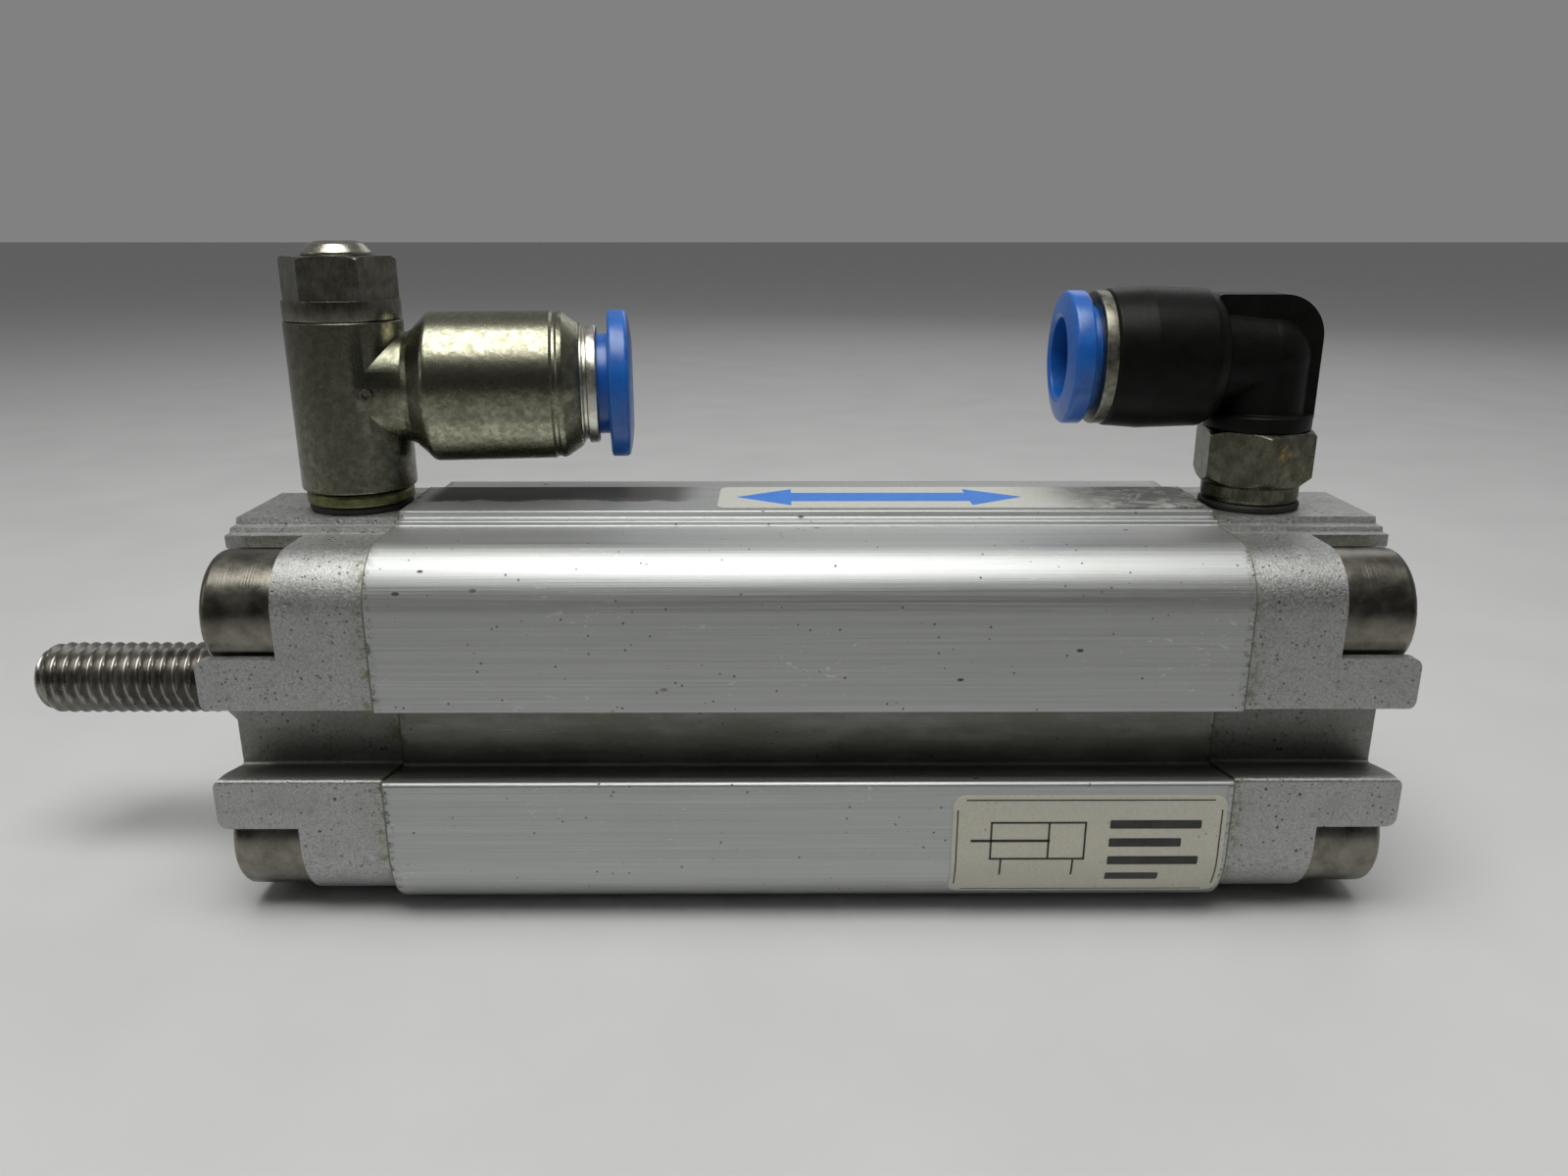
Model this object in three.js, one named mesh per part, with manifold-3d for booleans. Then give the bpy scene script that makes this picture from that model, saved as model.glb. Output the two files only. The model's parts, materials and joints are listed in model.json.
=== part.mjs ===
// Compact pneumatic cylinder, 12 mm bore, 50 mm stroke, square non-turning rod,
// with a one-way flow control valve on the front port and a push-in elbow on the rear port.
// Millimetres. +Z up, rod pointing along -X, groove with the type label facing -Y.
import * as THREE from 'three';
import { mergeVertices } from 'three/addons/utils/BufferGeometryUtils.js';
import Module from 'manifold-3d';

const wasm = await Module();
wasm.setup();

// ---- driving dimensions -------------------------------------------------------------
const SECTION = 29.0;            // square barrel section
const MID = SECTION / 2;         // height of the cylinder axis
const CORNER = 5.7;              // outer corner radius
const LENGTH = 88.0;             // end face to end face
const BARREL_LENGTH = 62.8;
const CAP_INSET = 0.5;           // the cast caps are this much smaller all round
const ARM = 6.7;                 // half width of the cross on the cap ends
const POCKET_FLOOR = 38.1;       // where the screw pockets start, from the middle
const GROOVE_MOUTH = 2.7;        // half height of the sensor groove at the face
const GROOVE_FLOOR = 3.85;       // half height of the sensor groove at its floor
const GROOVE_DEPTH = 5.2;
const STEP_HALF = 5.8;           // two shallow steps up to the port plateau
const STEP_RISE = 0.35;
const PLATEAU_HALF = 4.4;
const PLATEAU_RISE = 0.85;
const BORE = 6.0;                // radius
const SPIGOT = 1.5;
const SEAL_SEAT = 6.95;          // radius of the counterbore for the cap seals
const SEAL_SEAT_DEPTH = 1.1;
const SCREW_SPACING = 9.0;       // screws sit this far either side of the axis
const CHANNEL = 2.05;            // screw channel radius in the barrel
const HEAD = 4.45;               // collar screw head radius
const HEAD_LENGTH = 5.5;
const HEAD_POCKET = 4.7;
const SHANK = 2.0;
const SHANK_LENGTH = 14.5;
const SOCKET_FLAT = 2.0;         // hexagon socket, half across flats
const SOCKET_DEPTH = 3.4;
const PORT_X = 35.7;             // port axis, from the middle
const PORT = 2.5;                // M5 port, major radius
const PORT_THREAD = 2.44;        // stems screwed into it
const PORT_SEAT = MID + MID - CAP_INSET + PLATEAU_RISE;   // cap plateau height
const STROKE = 50;
const BUMPER_PROUD = 0.2;
const PISTON_LENGTH = BARREL_LENGTH - 2 * (SPIGOT + BUMPER_PROUD) - STROKE;
const PISTON_BACK = BARREL_LENGTH / 2 - SPIGOT - BUMPER_PROUD;
const ROD_FLAT = 3.0;            // half side of the square rod
const ROD_CORNER = 3.75;         // radius over the rod corners
const ROD_FIT = 0.03;
const THREAD_LENGTH = 16.0;
const THREAD_TIP = -63.9;
const THREAD_MAJOR = 2.94;       // M6 x 1
const THREAD_MINOR = 2.4;
const THREAD_PITCH = 1.0;
const VALVE_AXIS = 38.7;         // height of the valve's tube socket
const VALVE_SWING = 0.129;       // the valve's branch is swung this far towards +Y
const ELBOW_AXIS = 41.05;
const RUN = 0.05;                // running clearance in the fittings

const AXIS_FACETS = 32;
const X = new THREE.Vector3(1, 0, 0);
const Y = new THREE.Vector3(0, 1, 0);
const Z = new THREE.Vector3(0, 0, 1);

// ---- materials ----------------------------------------------------------------------
const paint = (color, roughness, metalness) =>
  new THREE.MeshStandardMaterial({ color, roughness, metalness });
const anodised = paint(0xc4c6c8, 0.42, 0.9);
const cast = paint(0xb4b5b4, 0.6, 0.85);
const steel = paint(0x8a8784, 0.3, 1.0);
const nickel = paint(0xa19c8c, 0.35, 1.0);
const zinc = paint(0x9a9682, 0.45, 1.0);
const brass = paint(0x8f8a5c, 0.4, 1.0);
const rubber = paint(0x161616, 0.7, 0);
const black = paint(0x1c1c1c, 0.5, 0);
const blue = paint(0x1d6fd6, 0.4, 0);
const bronze = paint(0x9a7a45, 0.45, 1.0);
const bumperPlastic = paint(0x2f5b45, 0.7, 0);
const ferrite = paint(0x3a3836, 0.6, 0.2);
const cream = paint(0xd6d3c2, 0.6, 0);

// ---- solid helpers ------------------------------------------------------------------
function volumeOf(geometry) {
  const p = geometry.attributes.position, i = geometry.index;
  const a = new THREE.Vector3(), b = new THREE.Vector3(), c = new THREE.Vector3();
  let sum = 0;
  for (let k = 0; k < i.count; k += 3) {
    a.fromBufferAttribute(p, i.getX(k));
    b.fromBufferAttribute(p, i.getX(k + 1));
    c.fromBufferAttribute(p, i.getX(k + 2));
    sum += a.dot(b.cross(c));
  }
  return sum / 6;
}

// Welds a geometry and turns it the right way out.
function weld(geometry) {
  geometry.deleteAttribute('normal');
  geometry.deleteAttribute('uv');
  const g = mergeVertices(geometry, 1e-5);
  const kept = [];
  for (let k = 0; k < g.index.count; k += 3) {
    const t = [g.index.getX(k), g.index.getX(k + 1), g.index.getX(k + 2)];
    if (t[0] !== t[1] && t[1] !== t[2] && t[2] !== t[0]) kept.push(...t);
  }
  g.setIndex(kept);
  if (volumeOf(g) < 0) {
    for (let k = 0; k < kept.length; k += 3) [kept[k + 1], kept[k + 2]] = [kept[k + 2], kept[k + 1]];
    g.setIndex(kept);
  }
  return g;
}

function toSolid(geometry) {
  return new wasm.Manifold(new wasm.Mesh({
    numProp: 3,
    vertProperties: Float32Array.from(geometry.attributes.position.array),
    triVerts: Uint32Array.from(geometry.index.array),
  }));
}

function toGeometry(solid) {
  const mesh = solid.getMesh();
  const g = new THREE.BufferGeometry();
  g.setAttribute('position', new THREE.BufferAttribute(Float32Array.from(mesh.vertProperties), 3));
  g.setIndex(Array.from(mesh.triVerts));
  return g;
}

const join = (first, ...rest) =>
  toGeometry(rest.reduce((sum, g) => sum.add(toSolid(g)), toSolid(first)));
const cut = (first, ...rest) =>
  toGeometry(rest.reduce((sum, g) => sum.subtract(toSolid(g)), toSolid(first)));
const common = (first, second) => toGeometry(toSolid(first).intersect(toSolid(second)));

// Turned piece: outline points are [radius, distance along the axis].
function turned(points, facets, axis, x = 0, y = 0, z = 0) {
  const lathe = new THREE.LatheGeometry(points.map(([r, d]) => new THREE.Vector2(r, d)), facets);
  const across = axis === X ? new THREE.Vector3(0, 0, -1) : X;
  const basis = new THREE.Matrix4().makeBasis(Y, axis, across);
  return weld(lathe.applyMatrix4(basis.setPosition(x, y, z)));
}

const rod = (r, from, to, facets, axis, x = 0, y = 0, z = 0) =>
  turned([[0, from], [r, from], [r, to], [0, to]], facets, axis, x, y, z);
const ringOf = (inner, outer, from, to, facets, axis, x = 0, y = 0, z = 0) =>
  turned([[inner, from], [outer, from], [outer, to], [inner, to], [inner, from]],
    facets, axis, x, y, z);

// O-ring round the X axis at a height: a turned circle.
function oRing(radius, cord, at, facets, height) {
  const points = [];
  for (let k = 0; k <= 6; k++) {
    const a = (k / 6) * 2 * Math.PI;
    points.push([radius + cord * Math.cos(a), at + cord * Math.sin(a)]);
  }
  return turned(points, facets, X, 0, 0, height);
}

// Extrudes a (y, z) outline along X.
function extruded(shape, from, to, curveSegments = 8) {
  const g = new THREE.ExtrudeGeometry(shape, { depth: to - from, bevelEnabled: false, curveSegments });
  return weld(g.applyMatrix4(new THREE.Matrix4().makeBasis(Y, Z, X).setPosition(from, 0, 0)));
}

// Regular hexagonal bar along an axis.
function hexBar(halfFlats, from, to, axis, x, y, z, turn = 0) {
  const bar = rod(halfFlats / Math.cos(Math.PI / 6), from, to, 6, axis);
  const spin = new THREE.Matrix4().makeRotationAxis(axis, turn);
  return bar.applyMatrix4(spin.setPosition(x, y, z));
}

function block(x0, x1, y0, y1, z0, z1) {
  const g = new THREE.BoxGeometry(x1 - x0, y1 - y0, z1 - z0);
  return weld(g.translate((x0 + x1) / 2, (y0 + y1) / 2, (z0 + z1) / 2));
}

// ---- barrel and cap outline ---------------------------------------------------------
// Rounded square with a dovetail sensor groove in the front and rear faces and a
// two-step plateau on top. "inset" shrinks it for the caps.
function profileOutline(inset) {
  const h = MID - inset, r = CORNER, c = h - r;
  const floor = h - GROOVE_DEPTH;
  const s = new THREE.Shape();
  s.moveTo(-c, MID - h);
  s.lineTo(c, MID - h);
  s.absarc(c, MID - c, r, -Math.PI / 2, 0, false);
  s.lineTo(h, MID - GROOVE_MOUTH);
  s.lineTo(floor, MID - GROOVE_FLOOR);
  s.lineTo(floor, MID + GROOVE_FLOOR);
  s.lineTo(h, MID + GROOVE_MOUTH);
  s.absarc(c, MID + c, r, 0, Math.PI / 2, false);
  s.lineTo(STEP_HALF, MID + h);
  s.lineTo(STEP_HALF - 0.15, MID + h + STEP_RISE);
  s.lineTo(PLATEAU_HALF + 0.2, MID + h + STEP_RISE);
  s.lineTo(PLATEAU_HALF, MID + h + PLATEAU_RISE);
  s.lineTo(-PLATEAU_HALF, MID + h + PLATEAU_RISE);
  s.lineTo(-PLATEAU_HALF - 0.2, MID + h + STEP_RISE);
  s.lineTo(-STEP_HALF + 0.15, MID + h + STEP_RISE);
  s.lineTo(-STEP_HALF, MID + h);
  s.absarc(-c, MID + c, r, Math.PI / 2, Math.PI, false);
  s.lineTo(-h, MID + GROOVE_MOUTH);
  s.lineTo(-floor, MID + GROOVE_FLOOR);
  s.lineTo(-floor, MID - GROOVE_FLOOR);
  s.lineTo(-h, MID - GROOVE_MOUTH);
  s.absarc(-c, MID - c, r, Math.PI, 1.5 * Math.PI, false);
  return s;
}

const screwPlaces = [];
for (const y of [-1, 1]) {
  for (const z of [1, -1]) screwPlaces.push([y * SCREW_SPACING, MID + z * SCREW_SPACING]);
}

// ---- barrel -------------------------------------------------------------------------
function makeBarrel() {
  const half = BARREL_LENGTH / 2;
  const body = extruded(profileOutline(0), -half, half, 7);
  const holes = screwPlaces.map(([y, z]) => rod(CHANNEL, -half - 1, half + 1, 14, X, 0, y, z));
  const bore = turned([[0, -half - 1], [SEAL_SEAT, -half - 1], [SEAL_SEAT, -half + SEAL_SEAT_DEPTH],
    [BORE, -half + SEAL_SEAT_DEPTH], [BORE, half - SEAL_SEAT_DEPTH],
    [SEAL_SEAT, half - SEAL_SEAT_DEPTH], [SEAL_SEAT, half + 1], [0, half + 1]],
  AXIS_FACETS, X, 0, 0, MID);
  return cut(body, bore, ...holes);
}

// ---- caps ---------------------------------------------------------------------------
// Built for the rear (+X) end; the front cap is the same casting mirrored.
function capBlank() {
  const joint = BARREL_LENGTH / 2, end = LENGTH / 2;
  const full = extruded(profileOutline(CAP_INSET), joint, end, 7);
  const reach = SECTION;
  const corners = screwPlaces.map(([y, z]) => block(POCKET_FLOOR, end + 1,
    y > 0 ? ARM : -reach, y > 0 ? reach : -ARM,
    z > MID ? MID + ARM : MID - reach, z > MID ? MID + reach : MID - ARM));
  const counterbores = screwPlaces.map(([y, z]) =>
    rod(HEAD_POCKET, POCKET_FLOOR, end + 1, 24, X, 0, y, z));
  const shankHoles = screwPlaces.map(([y, z]) =>
    rod(SHANK + 0.1, joint - 1, POCKET_FLOOR + 1, 14, X, 0, y, z));
  const spigot = rod(BORE - 0.03, joint - SPIGOT, joint + 1, AXIS_FACETS, X, 0, 0, MID);
  return join(cut(full, ...corners, ...counterbores, ...shankHoles), spigot);
}

const flip = new THREE.Matrix4().makeScale(-1, 1, 1);
const mirroredInX = (geometry) => weld(geometry.clone().applyMatrix4(flip));

function makeRearCap() {
  const joint = BARREL_LENGTH / 2;
  const port = rod(PORT, MID, PORT_SEAT + 1, 24, Z, PORT_X, 0, 0);
  const gallery = rod(2.0, joint - SPIGOT - 1, PORT_X, 24, X, 0, 0, MID);
  const bumperSeat = rod(5.2, joint - SPIGOT - 1, joint - 0.2, AXIS_FACETS, X, 0, 0, MID);
  return cut(capBlank(), port, gallery, bumperSeat);
}

const BEARING = 4.6;             // outer radius of the rod bearing and seal
const BEARING_FROM = -42.0, BEARING_TO = -38.5;
const CHAMBER_TO = -33.6;

function makeFrontCap() {
  const joint = -BARREL_LENGTH / 2, end = -LENGTH / 2;
  const port = rod(PORT, MID + 2, PORT_SEAT + 1, 24, Z, -PORT_X, 0, 0);
  const bore = turned([[0, end - 1], [BEARING, end - 1], [BEARING, CHAMBER_TO], [4.0, CHAMBER_TO],
    [4.0, joint + SPIGOT + 1], [0, joint + SPIGOT + 1]], AXIS_FACETS, X, 0, 0, MID);
  const bumperSeat = rod(5.2, joint + 0.2, joint + SPIGOT + 1, AXIS_FACETS, X, 0, 0, MID);
  return cut(mirroredInX(capBlank()), port, bore, bumperSeat);
}

function makeBumper(side, inner) {
  const joint = BARREL_LENGTH / 2;
  const a = side * (joint - 0.2), b = side * (joint - SPIGOT - BUMPER_PROUD);
  return ringOf(inner, 5.2, Math.min(a, b), Math.max(a, b), AXIS_FACETS, X, 0, 0, MID);
}

const makeCapSeal = (side) =>
  oRing(6.46, 0.48, side * (BARREL_LENGTH / 2 - 0.5), AXIS_FACETS, MID);

function makeCollarScrew(side, y, z) {
  const a = POCKET_FLOOR, b = a + HEAD_LENGTH;
  const blank = turned([[0, a - SHANK_LENGTH], [SHANK - 0.5, a - SHANK_LENGTH],
    [SHANK, a - SHANK_LENGTH + 0.5], [SHANK, a], [HEAD, a],
    [HEAD, b - 0.55], [HEAD - 0.16, b - 0.16], [HEAD - 0.55, b], [0, b]], 16, X, 0, y, z);
  const socket = hexBar(SOCKET_FLAT, b - SOCKET_DEPTH, b + 1, X, 0, y, z);
  const piece = cut(blank, socket);
  return side > 0 ? piece : mirroredInX(piece);
}

// ---- rod and piston -----------------------------------------------------------------
function squareShape(halfSide, overCorners) {
  const s = new THREE.Shape();
  const flat = Math.sqrt(overCorners ** 2 - halfSide ** 2);
  const a = Math.atan2(flat, halfSide);
  for (let k = 0; k < 4; k++) {
    const mid = (k * Math.PI) / 2;
    const px = overCorners * Math.cos(mid + a), pz = overCorners * Math.sin(mid + a);
    if (k === 0) s.moveTo(overCorners * Math.cos(-a), overCorners * Math.sin(-a) + MID);
    s.lineTo(px, pz + MID);
    s.absarc(0, MID, overCorners, mid + a, mid + Math.PI / 2 - a, false);
  }
  return s;
}

function makePistonRod() {
  const root = THREAD_TIP + THREAD_LENGTH;
  const front = PISTON_BACK - PISTON_LENGTH;
  const bar = extruded(squareShape(ROD_FLAT, ROD_CORNER), root, front, 4);
  const points = [[0, THREAD_TIP], [1.3, THREAD_TIP], [2.0, THREAD_TIP + 0.35],
    [THREAD_MINOR, THREAD_TIP + 0.8]];
  for (let d = THREAD_TIP + 1; d < root - 0.9; d += THREAD_PITCH) {
    points.push([THREAD_MAJOR, d + 0.5], [THREAD_MINOR, d + 1.0]);
  }
  points.push([THREAD_MINOR, root + 0.2], [0, root + 0.2]);
  const thread = turned(points, 18, X, 0, 0, MID);
  const journal = rod(2.4, front - 0.5, front + 5.5, AXIS_FACETS, X, 0, 0, MID);
  const tapping = rod(1.5, front - 3, front + 6, 16, X, 0, 0, MID);
  return cut(join(bar, thread, journal), tapping);
}

const LAND = BORE - 0.06;
const SEAL_FLOOR = 4.2;
const MAGNET_FLOOR = 3.6;
const FRONT_FACE = PISTON_BACK - PISTON_LENGTH;
const MAGNET_FROM = FRONT_FACE + 3.2, MAGNET_TO = FRONT_FACE + 6.2;

function makePistonFront() {
  const f = FRONT_FACE;
  return turned([[2.4, f], [LAND, f], [LAND, f + 0.7], [SEAL_FLOOR, f + 0.7],
    [SEAL_FLOOR, f + 2.5], [LAND, f + 2.5], [LAND, MAGNET_FROM], [MAGNET_FLOOR, MAGNET_FROM],
    [MAGNET_FLOOR, MAGNET_TO], [2.4, MAGNET_TO], [2.4, f]], AXIS_FACETS, X, 0, 0, MID);
}

function makePistonRear() {
  const b = PISTON_BACK;
  return turned([[2.4, MAGNET_TO], [LAND, MAGNET_TO], [LAND, b - 2.5], [SEAL_FLOOR, b - 2.5],
    [SEAL_FLOOR, b - 0.7], [LAND, b - 0.7], [LAND, b], [2.9, b],
    [2.9, b - 1.7], [2.4, b - 1.7], [2.4, MAGNET_TO]], AXIS_FACETS, X, 0, 0, MID);
}

function makePistonSeal(from) {
  const lip = BORE - 0.02;
  return turned([[SEAL_FLOOR, from], [lip - 0.35, from], [lip, from + 0.35], [lip - 0.2, from + 0.9],
    [lip, from + 1.45], [lip - 0.35, from + 1.8], [SEAL_FLOOR, from + 1.8], [SEAL_FLOOR, from]],
  AXIS_FACETS, X, 0, 0, MID);
}

function makePistonScrew() {
  const seat = PISTON_BACK - 1.7;
  const blank = turned([[0, seat - 6.2], [1.45, seat - 6.2], [1.45, seat], [2.75, seat],
    [2.75, seat + 1.2], [2.55, seat + 1.4], [0, seat + 1.4]], 16, X, 0, 0, MID);
  return cut(blank, hexBar(1.25, seat + 0.5, seat + 3, X, 0, 0, MID));
}

// Bearing or wiper with the square hole that stops the rod turning.
function makeSquareRing(from, to, outer) {
  const ring = rod(outer, from, to, AXIS_FACETS, X, 0, 0, MID);
  const hole = extruded(squareShape(ROD_FLAT + ROD_FIT, ROD_CORNER + ROD_FIT), from - 1, to + 1, 4);
  return cut(ring, hole);
}

// ---- labels -------------------------------------------------------------------------
function roundedPlate(x0, x1, z0, z1, r) {
  const s = new THREE.Shape();
  s.moveTo(x0 + r, z0);
  s.lineTo(x1 - r, z0);
  s.absarc(x1 - r, z0 + r, r, -Math.PI / 2, 0, false);
  s.lineTo(x1, z1 - r);
  s.absarc(x1 - r, z1 - r, r, 0, Math.PI / 2, false);
  s.lineTo(x0 + r, z1);
  s.absarc(x0 + r, z1 - r, r, Math.PI / 2, Math.PI, false);
  s.lineTo(x0, z0 + r);
  s.absarc(x0 + r, z0 + r, r, Math.PI, 1.5 * Math.PI, false);
  return s;
}

const LABEL_THICKNESS = 0.1;

// The type label lies on the front face and follows the lower corner.
function makeTypeLabel() {
  const c = MID - CORNER, t = LABEL_THICKNESS;
  const s = new THREE.Shape();
  s.moveTo(-MID, 10.7);
  s.lineTo(-MID - t, 10.7);
  s.absarc(-c, MID - c, CORNER + t, Math.PI, Math.PI + 0.85, false);
  s.absarc(-c, MID - c, CORNER, Math.PI + 0.85, Math.PI, true);
  const strip = extruded(s, 10.7, 31.0, 10);
  const plate = new THREE.ExtrudeGeometry(roundedPlate(10.7, 31.0, 1.6, 10.7, 0.9),
    { depth: 8, bevelEnabled: false, curveSegments: 4 });
  const upright = new THREE.Matrix4().makeBasis(X, Z, new THREE.Vector3(0, -1, 0));
  return common(strip, weld(plate.applyMatrix4(upright.setPosition(0, -MID + 6, 0))));
}

function makeTopLabel() {
  const g = new THREE.ExtrudeGeometry(roundedPlate(-7.0, 31.0, -3.8, 3.8, 0.8),
    { depth: LABEL_THICKNESS, bevelEnabled: false, curveSegments: 4 });
  return weld(g.translate(0, 0, SECTION + PLATEAU_RISE));
}

// ---- flow control valve on the front port ----------------------------------------------
const SEAT = PORT_SEAT;
const THREAD_END = SEAT - 4.2;
const VALVE_HEAD_FROM = 44.0, VALVE_HEAD_TO = 48.7;
const VALVE_BODY_FROM = 31.0;
const STEM = 3.2;
const NEEDLE_HOLE = 1.65;
const NEEDLE_TOP = 41.5;

function makeValveBolt() {
  const blank = turned([[1.2, THREAD_END], [PORT_THREAD - 0.4, THREAD_END],
    [PORT_THREAD, THREAD_END + 0.4], [PORT_THREAD, VALVE_BODY_FROM], [STEM, VALVE_BODY_FROM],
    [STEM, VALVE_HEAD_FROM], [4.35, VALVE_HEAD_FROM],
    [4.35, VALVE_HEAD_TO - 0.35], [4.02, VALVE_HEAD_TO], [NEEDLE_HOLE, VALVE_HEAD_TO],
    [NEEDLE_HOLE, 38.2], [1.2, 37.6], [1.2, THREAD_END]], 32, Z, -PORT_X, 0, 0);
  const flats = [VALVE_HEAD_FROM + 1.5, VALVE_HEAD_TO + 1];
  const keep = hexBar(3.75, ...flats, Z, -PORT_X, 0, 0, 0.127);
  const rim = ringOf(3.7, 8.0, ...flats, 32, Z, -PORT_X, 0, 0);
  const crossHole = rod(0.9, -5, 5, 16, X, -PORT_X, 0, 39.8);
  return cut(blank, cut(rim, keep), crossHole);
}

// Turns a piece drawn along X to the direction of the valve's branch.
function swung(geometry) {
  const turn = new THREE.Matrix4().makeRotationZ(VALVE_SWING);
  const home = new THREE.Matrix4().makeTranslation(PORT_X, 0, 0);
  const back = new THREE.Matrix4().makeTranslation(-PORT_X, 0, 0);
  return geometry.applyMatrix4(back.multiply(turn).multiply(home));
}

function makeValveBody() {
  const px = -PORT_X, a = VALVE_AXIS;
  const upright = turned([[0, VALVE_BODY_FROM], [4.2, VALVE_BODY_FROM], [4.4, VALVE_BODY_FROM + 0.2],
    [4.4, VALVE_HEAD_FROM], [0, VALVE_HEAD_FROM]], 32, Z, px, 0, 0);
  const branch = turned([[0, px], [4.25, px], [4.25, -30.95], [4.45, -30.65], [5.7, -29.5],
    [5.8, -29.2], [5.8, -20.0], [5.65, -19.8], [5.7, -19.4], [5.55, -18.9], [4.85, -17.8],
    [0, -17.8]], 32, X, 0, 0, a);
  const hole = turned([[0, 30], [STEM + RUN, 30], [STEM + RUN, 33.5], [3.8, 34.0], [3.8, 42.2],
    [STEM + RUN, 42.7], [STEM + RUN, 45], [0, 45]], 32, Z, px, 0, 0);
  const socket = turned([[0, px], [1.9, px], [1.9, -28.4], [3.1, -28.2], [3.1, -22.6], [4.3, -22.6],
    [4.3, -17], [0, -17]], 28, X, 0, 0, a);
  return cut(join(upright, swung(branch)), hole, swung(socket));
}

// Push-in parts of a socket whose mouth is at "mouth" and which runs towards "inward" (+1 or -1
// in X). The ring stands "stand" out of the mouth, the sleeve's flange "gap" further out.
function pushInParts({ mouth, inward, height, ringOuter, stand, gap, flange }) {
  const piece = (points) =>
    turned(points.map(([r, d]) => [r, mouth + inward * d]), 28, X, 0, 0, height);
  const near = -stand - gap, rim = near - 1.6;
  return {
    ring: piece([[4.0, -stand], [ringOuter - 0.15, -stand], [ringOuter, 0.15 - stand],
      [ringOuter, 0.0], [4.28, 0.0], [4.28, 3.2], [4.0, 3.2], [4.0, -stand]]),
    sleeve: piece([[3.05, rim - 0.1], [3.4, rim - 0.3], [flange - 0.5, rim], [flange, rim + 0.4],
      [flange, near - 0.2], [flange - 0.2, near], [3.95, near], [3.95, 1.6], [3.5, 2.2],
      [3.05, 2.2], [3.05, rim - 0.1]]),
    grip: piece([[3.15, 3.75], [3.3, 3.4], [4.28, 3.2], [4.28, 3.6], [3.4, 3.75], [3.15, 4.0],
      [3.15, 3.75]]),
    seal: oRing(3.72, 0.54, mouth + inward * 4.24, 28, height),
  };
}

function makeAdjustingScrew() {
  const top = VALVE_HEAD_TO;
  const blank = turned([[0, NEEDLE_TOP], [NEEDLE_HOLE - RUN, NEEDLE_TOP], [NEEDLE_HOLE - RUN, top],
    [2.6, top], [2.6, top + 0.2], [2.1, top + 0.75], [1.5, top + 1.02], [0, top + 1.1]],
  28, Z, -PORT_X, 0, 0);
  const slot = block(-PORT_X - 1.2, -PORT_X + 1.2, -0.3, 0.3, top + 0.4, top + 2);
  return cut(blank, slot);
}

const makeNeedle = () => turned([[0, 37.7], [0.5, 37.7], [1.1, 39.6], [1.1, NEEDLE_TOP],
  [0, NEEDLE_TOP]], 20, Z, -PORT_X, 0, 0);

// ---- push-in elbow on the rear port ----------------------------------------------------
const HEX_FROM = 31.2, HEX_TO = 35.6;

function makeElbowStem() {
  const px = PORT_X;
  const hexagon = hexBar(4.0, HEX_FROM, HEX_TO, Z, px, 0, 0, 0.415);
  const trim = turned([[0, HEX_FROM], [3.75, HEX_FROM], [4.7, HEX_FROM + 0.9], [4.7, HEX_TO - 0.35],
    [4.1, HEX_TO], [0, HEX_TO]], 40, Z, px, 0, 0);
  const stem = turned([[0, THREAD_END], [PORT_THREAD - 0.4, THREAD_END],
    [PORT_THREAD, THREAD_END + 0.4], [PORT_THREAD, SEAT + 0.6], [3.7, SEAT + 0.6],
    [3.7, HEX_FROM + 0.2], [2.5, HEX_FROM + 0.2], [2.5, HEX_TO + 3.8], [0, HEX_TO + 3.8]],
  32, Z, px, 0, 0);
  const hole = rod(1.3, THREAD_END - 1, HEX_TO + 5, 20, Z, px, 0, 0);
  return cut(join(common(hexagon, trim), stem), hole);
}

// Flat plate in the XZ plane that stiffens the bend, with a rounded outer corner.
function makeElbowWeb() {
  const a = ELBOW_AXIS, left = 31.2, right = PORT_X + 3.75, top = a + 4.85, low = HEX_TO + 0.9;
  const r = 3.3, inner = PORT_X + 0.9;
  const web = new THREE.Shape();
  web.moveTo(left, a + 0.7);
  web.lineTo(left, top);
  web.absarc(right - r, top - r, r, Math.PI / 2, 0, true);
  web.lineTo(right, low);
  web.lineTo(inner, low);
  web.lineTo(inner, a + 0.7);
  const plate = new THREE.ExtrudeGeometry(web, { depth: 3.2, bevelEnabled: false, curveSegments: 6 });
  plate.applyMatrix4(new THREE.Matrix4().makeBasis(X, Z, new THREE.Vector3(0, -1, 0)));
  return weld(plate.translate(0, 1.6, 0));
}

function makeElbowBody() {
  const px = PORT_X, a = ELBOW_AXIS;
  const barrel = turned([[0, 23.0], [5.12, 23.0], [5.22, 23.2], [5.42, 26.0], [5.25, 30.3],
    [5.0, 31.1], [4.6, 31.45], [3.8, 31.5], [3.4, px + 0.2], [0, px + 0.2]], 28, X, 0, 0, a);
  const upright = rod(3.4, HEX_TO + 0.05, a + 0.2, 28, Z, px, 0, 0);
  const bend = new THREE.SphereGeometry(3.52, 24, 11).rotateY(0.11).translate(px, 0, a);
  const foot = rod(4.05, HEX_TO + 0.05, HEX_TO + 1.3, 28, Z, px, 0, 0);
  const stemHole = rod(2.5 + RUN, HEX_TO - 1, HEX_TO + 4, 32, Z, px, 0, 0);
  const duct = rod(1.75, HEX_TO + 3, a + 0.35, 20, Z, px, 0, 0);
  const socket = turned([[0, 22], [4.3, 22], [4.3, 27.8], [3.1, 27.8], [3.1, 33.3], [2.0, 33.5],
    [2.0, px + 1.0], [0, px + 1.0]], 28, X, 0, 0, a);
  return cut(join(barrel, upright, weld(bend), foot, makeElbowWeb()), stemHole, duct, socket);
}

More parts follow.
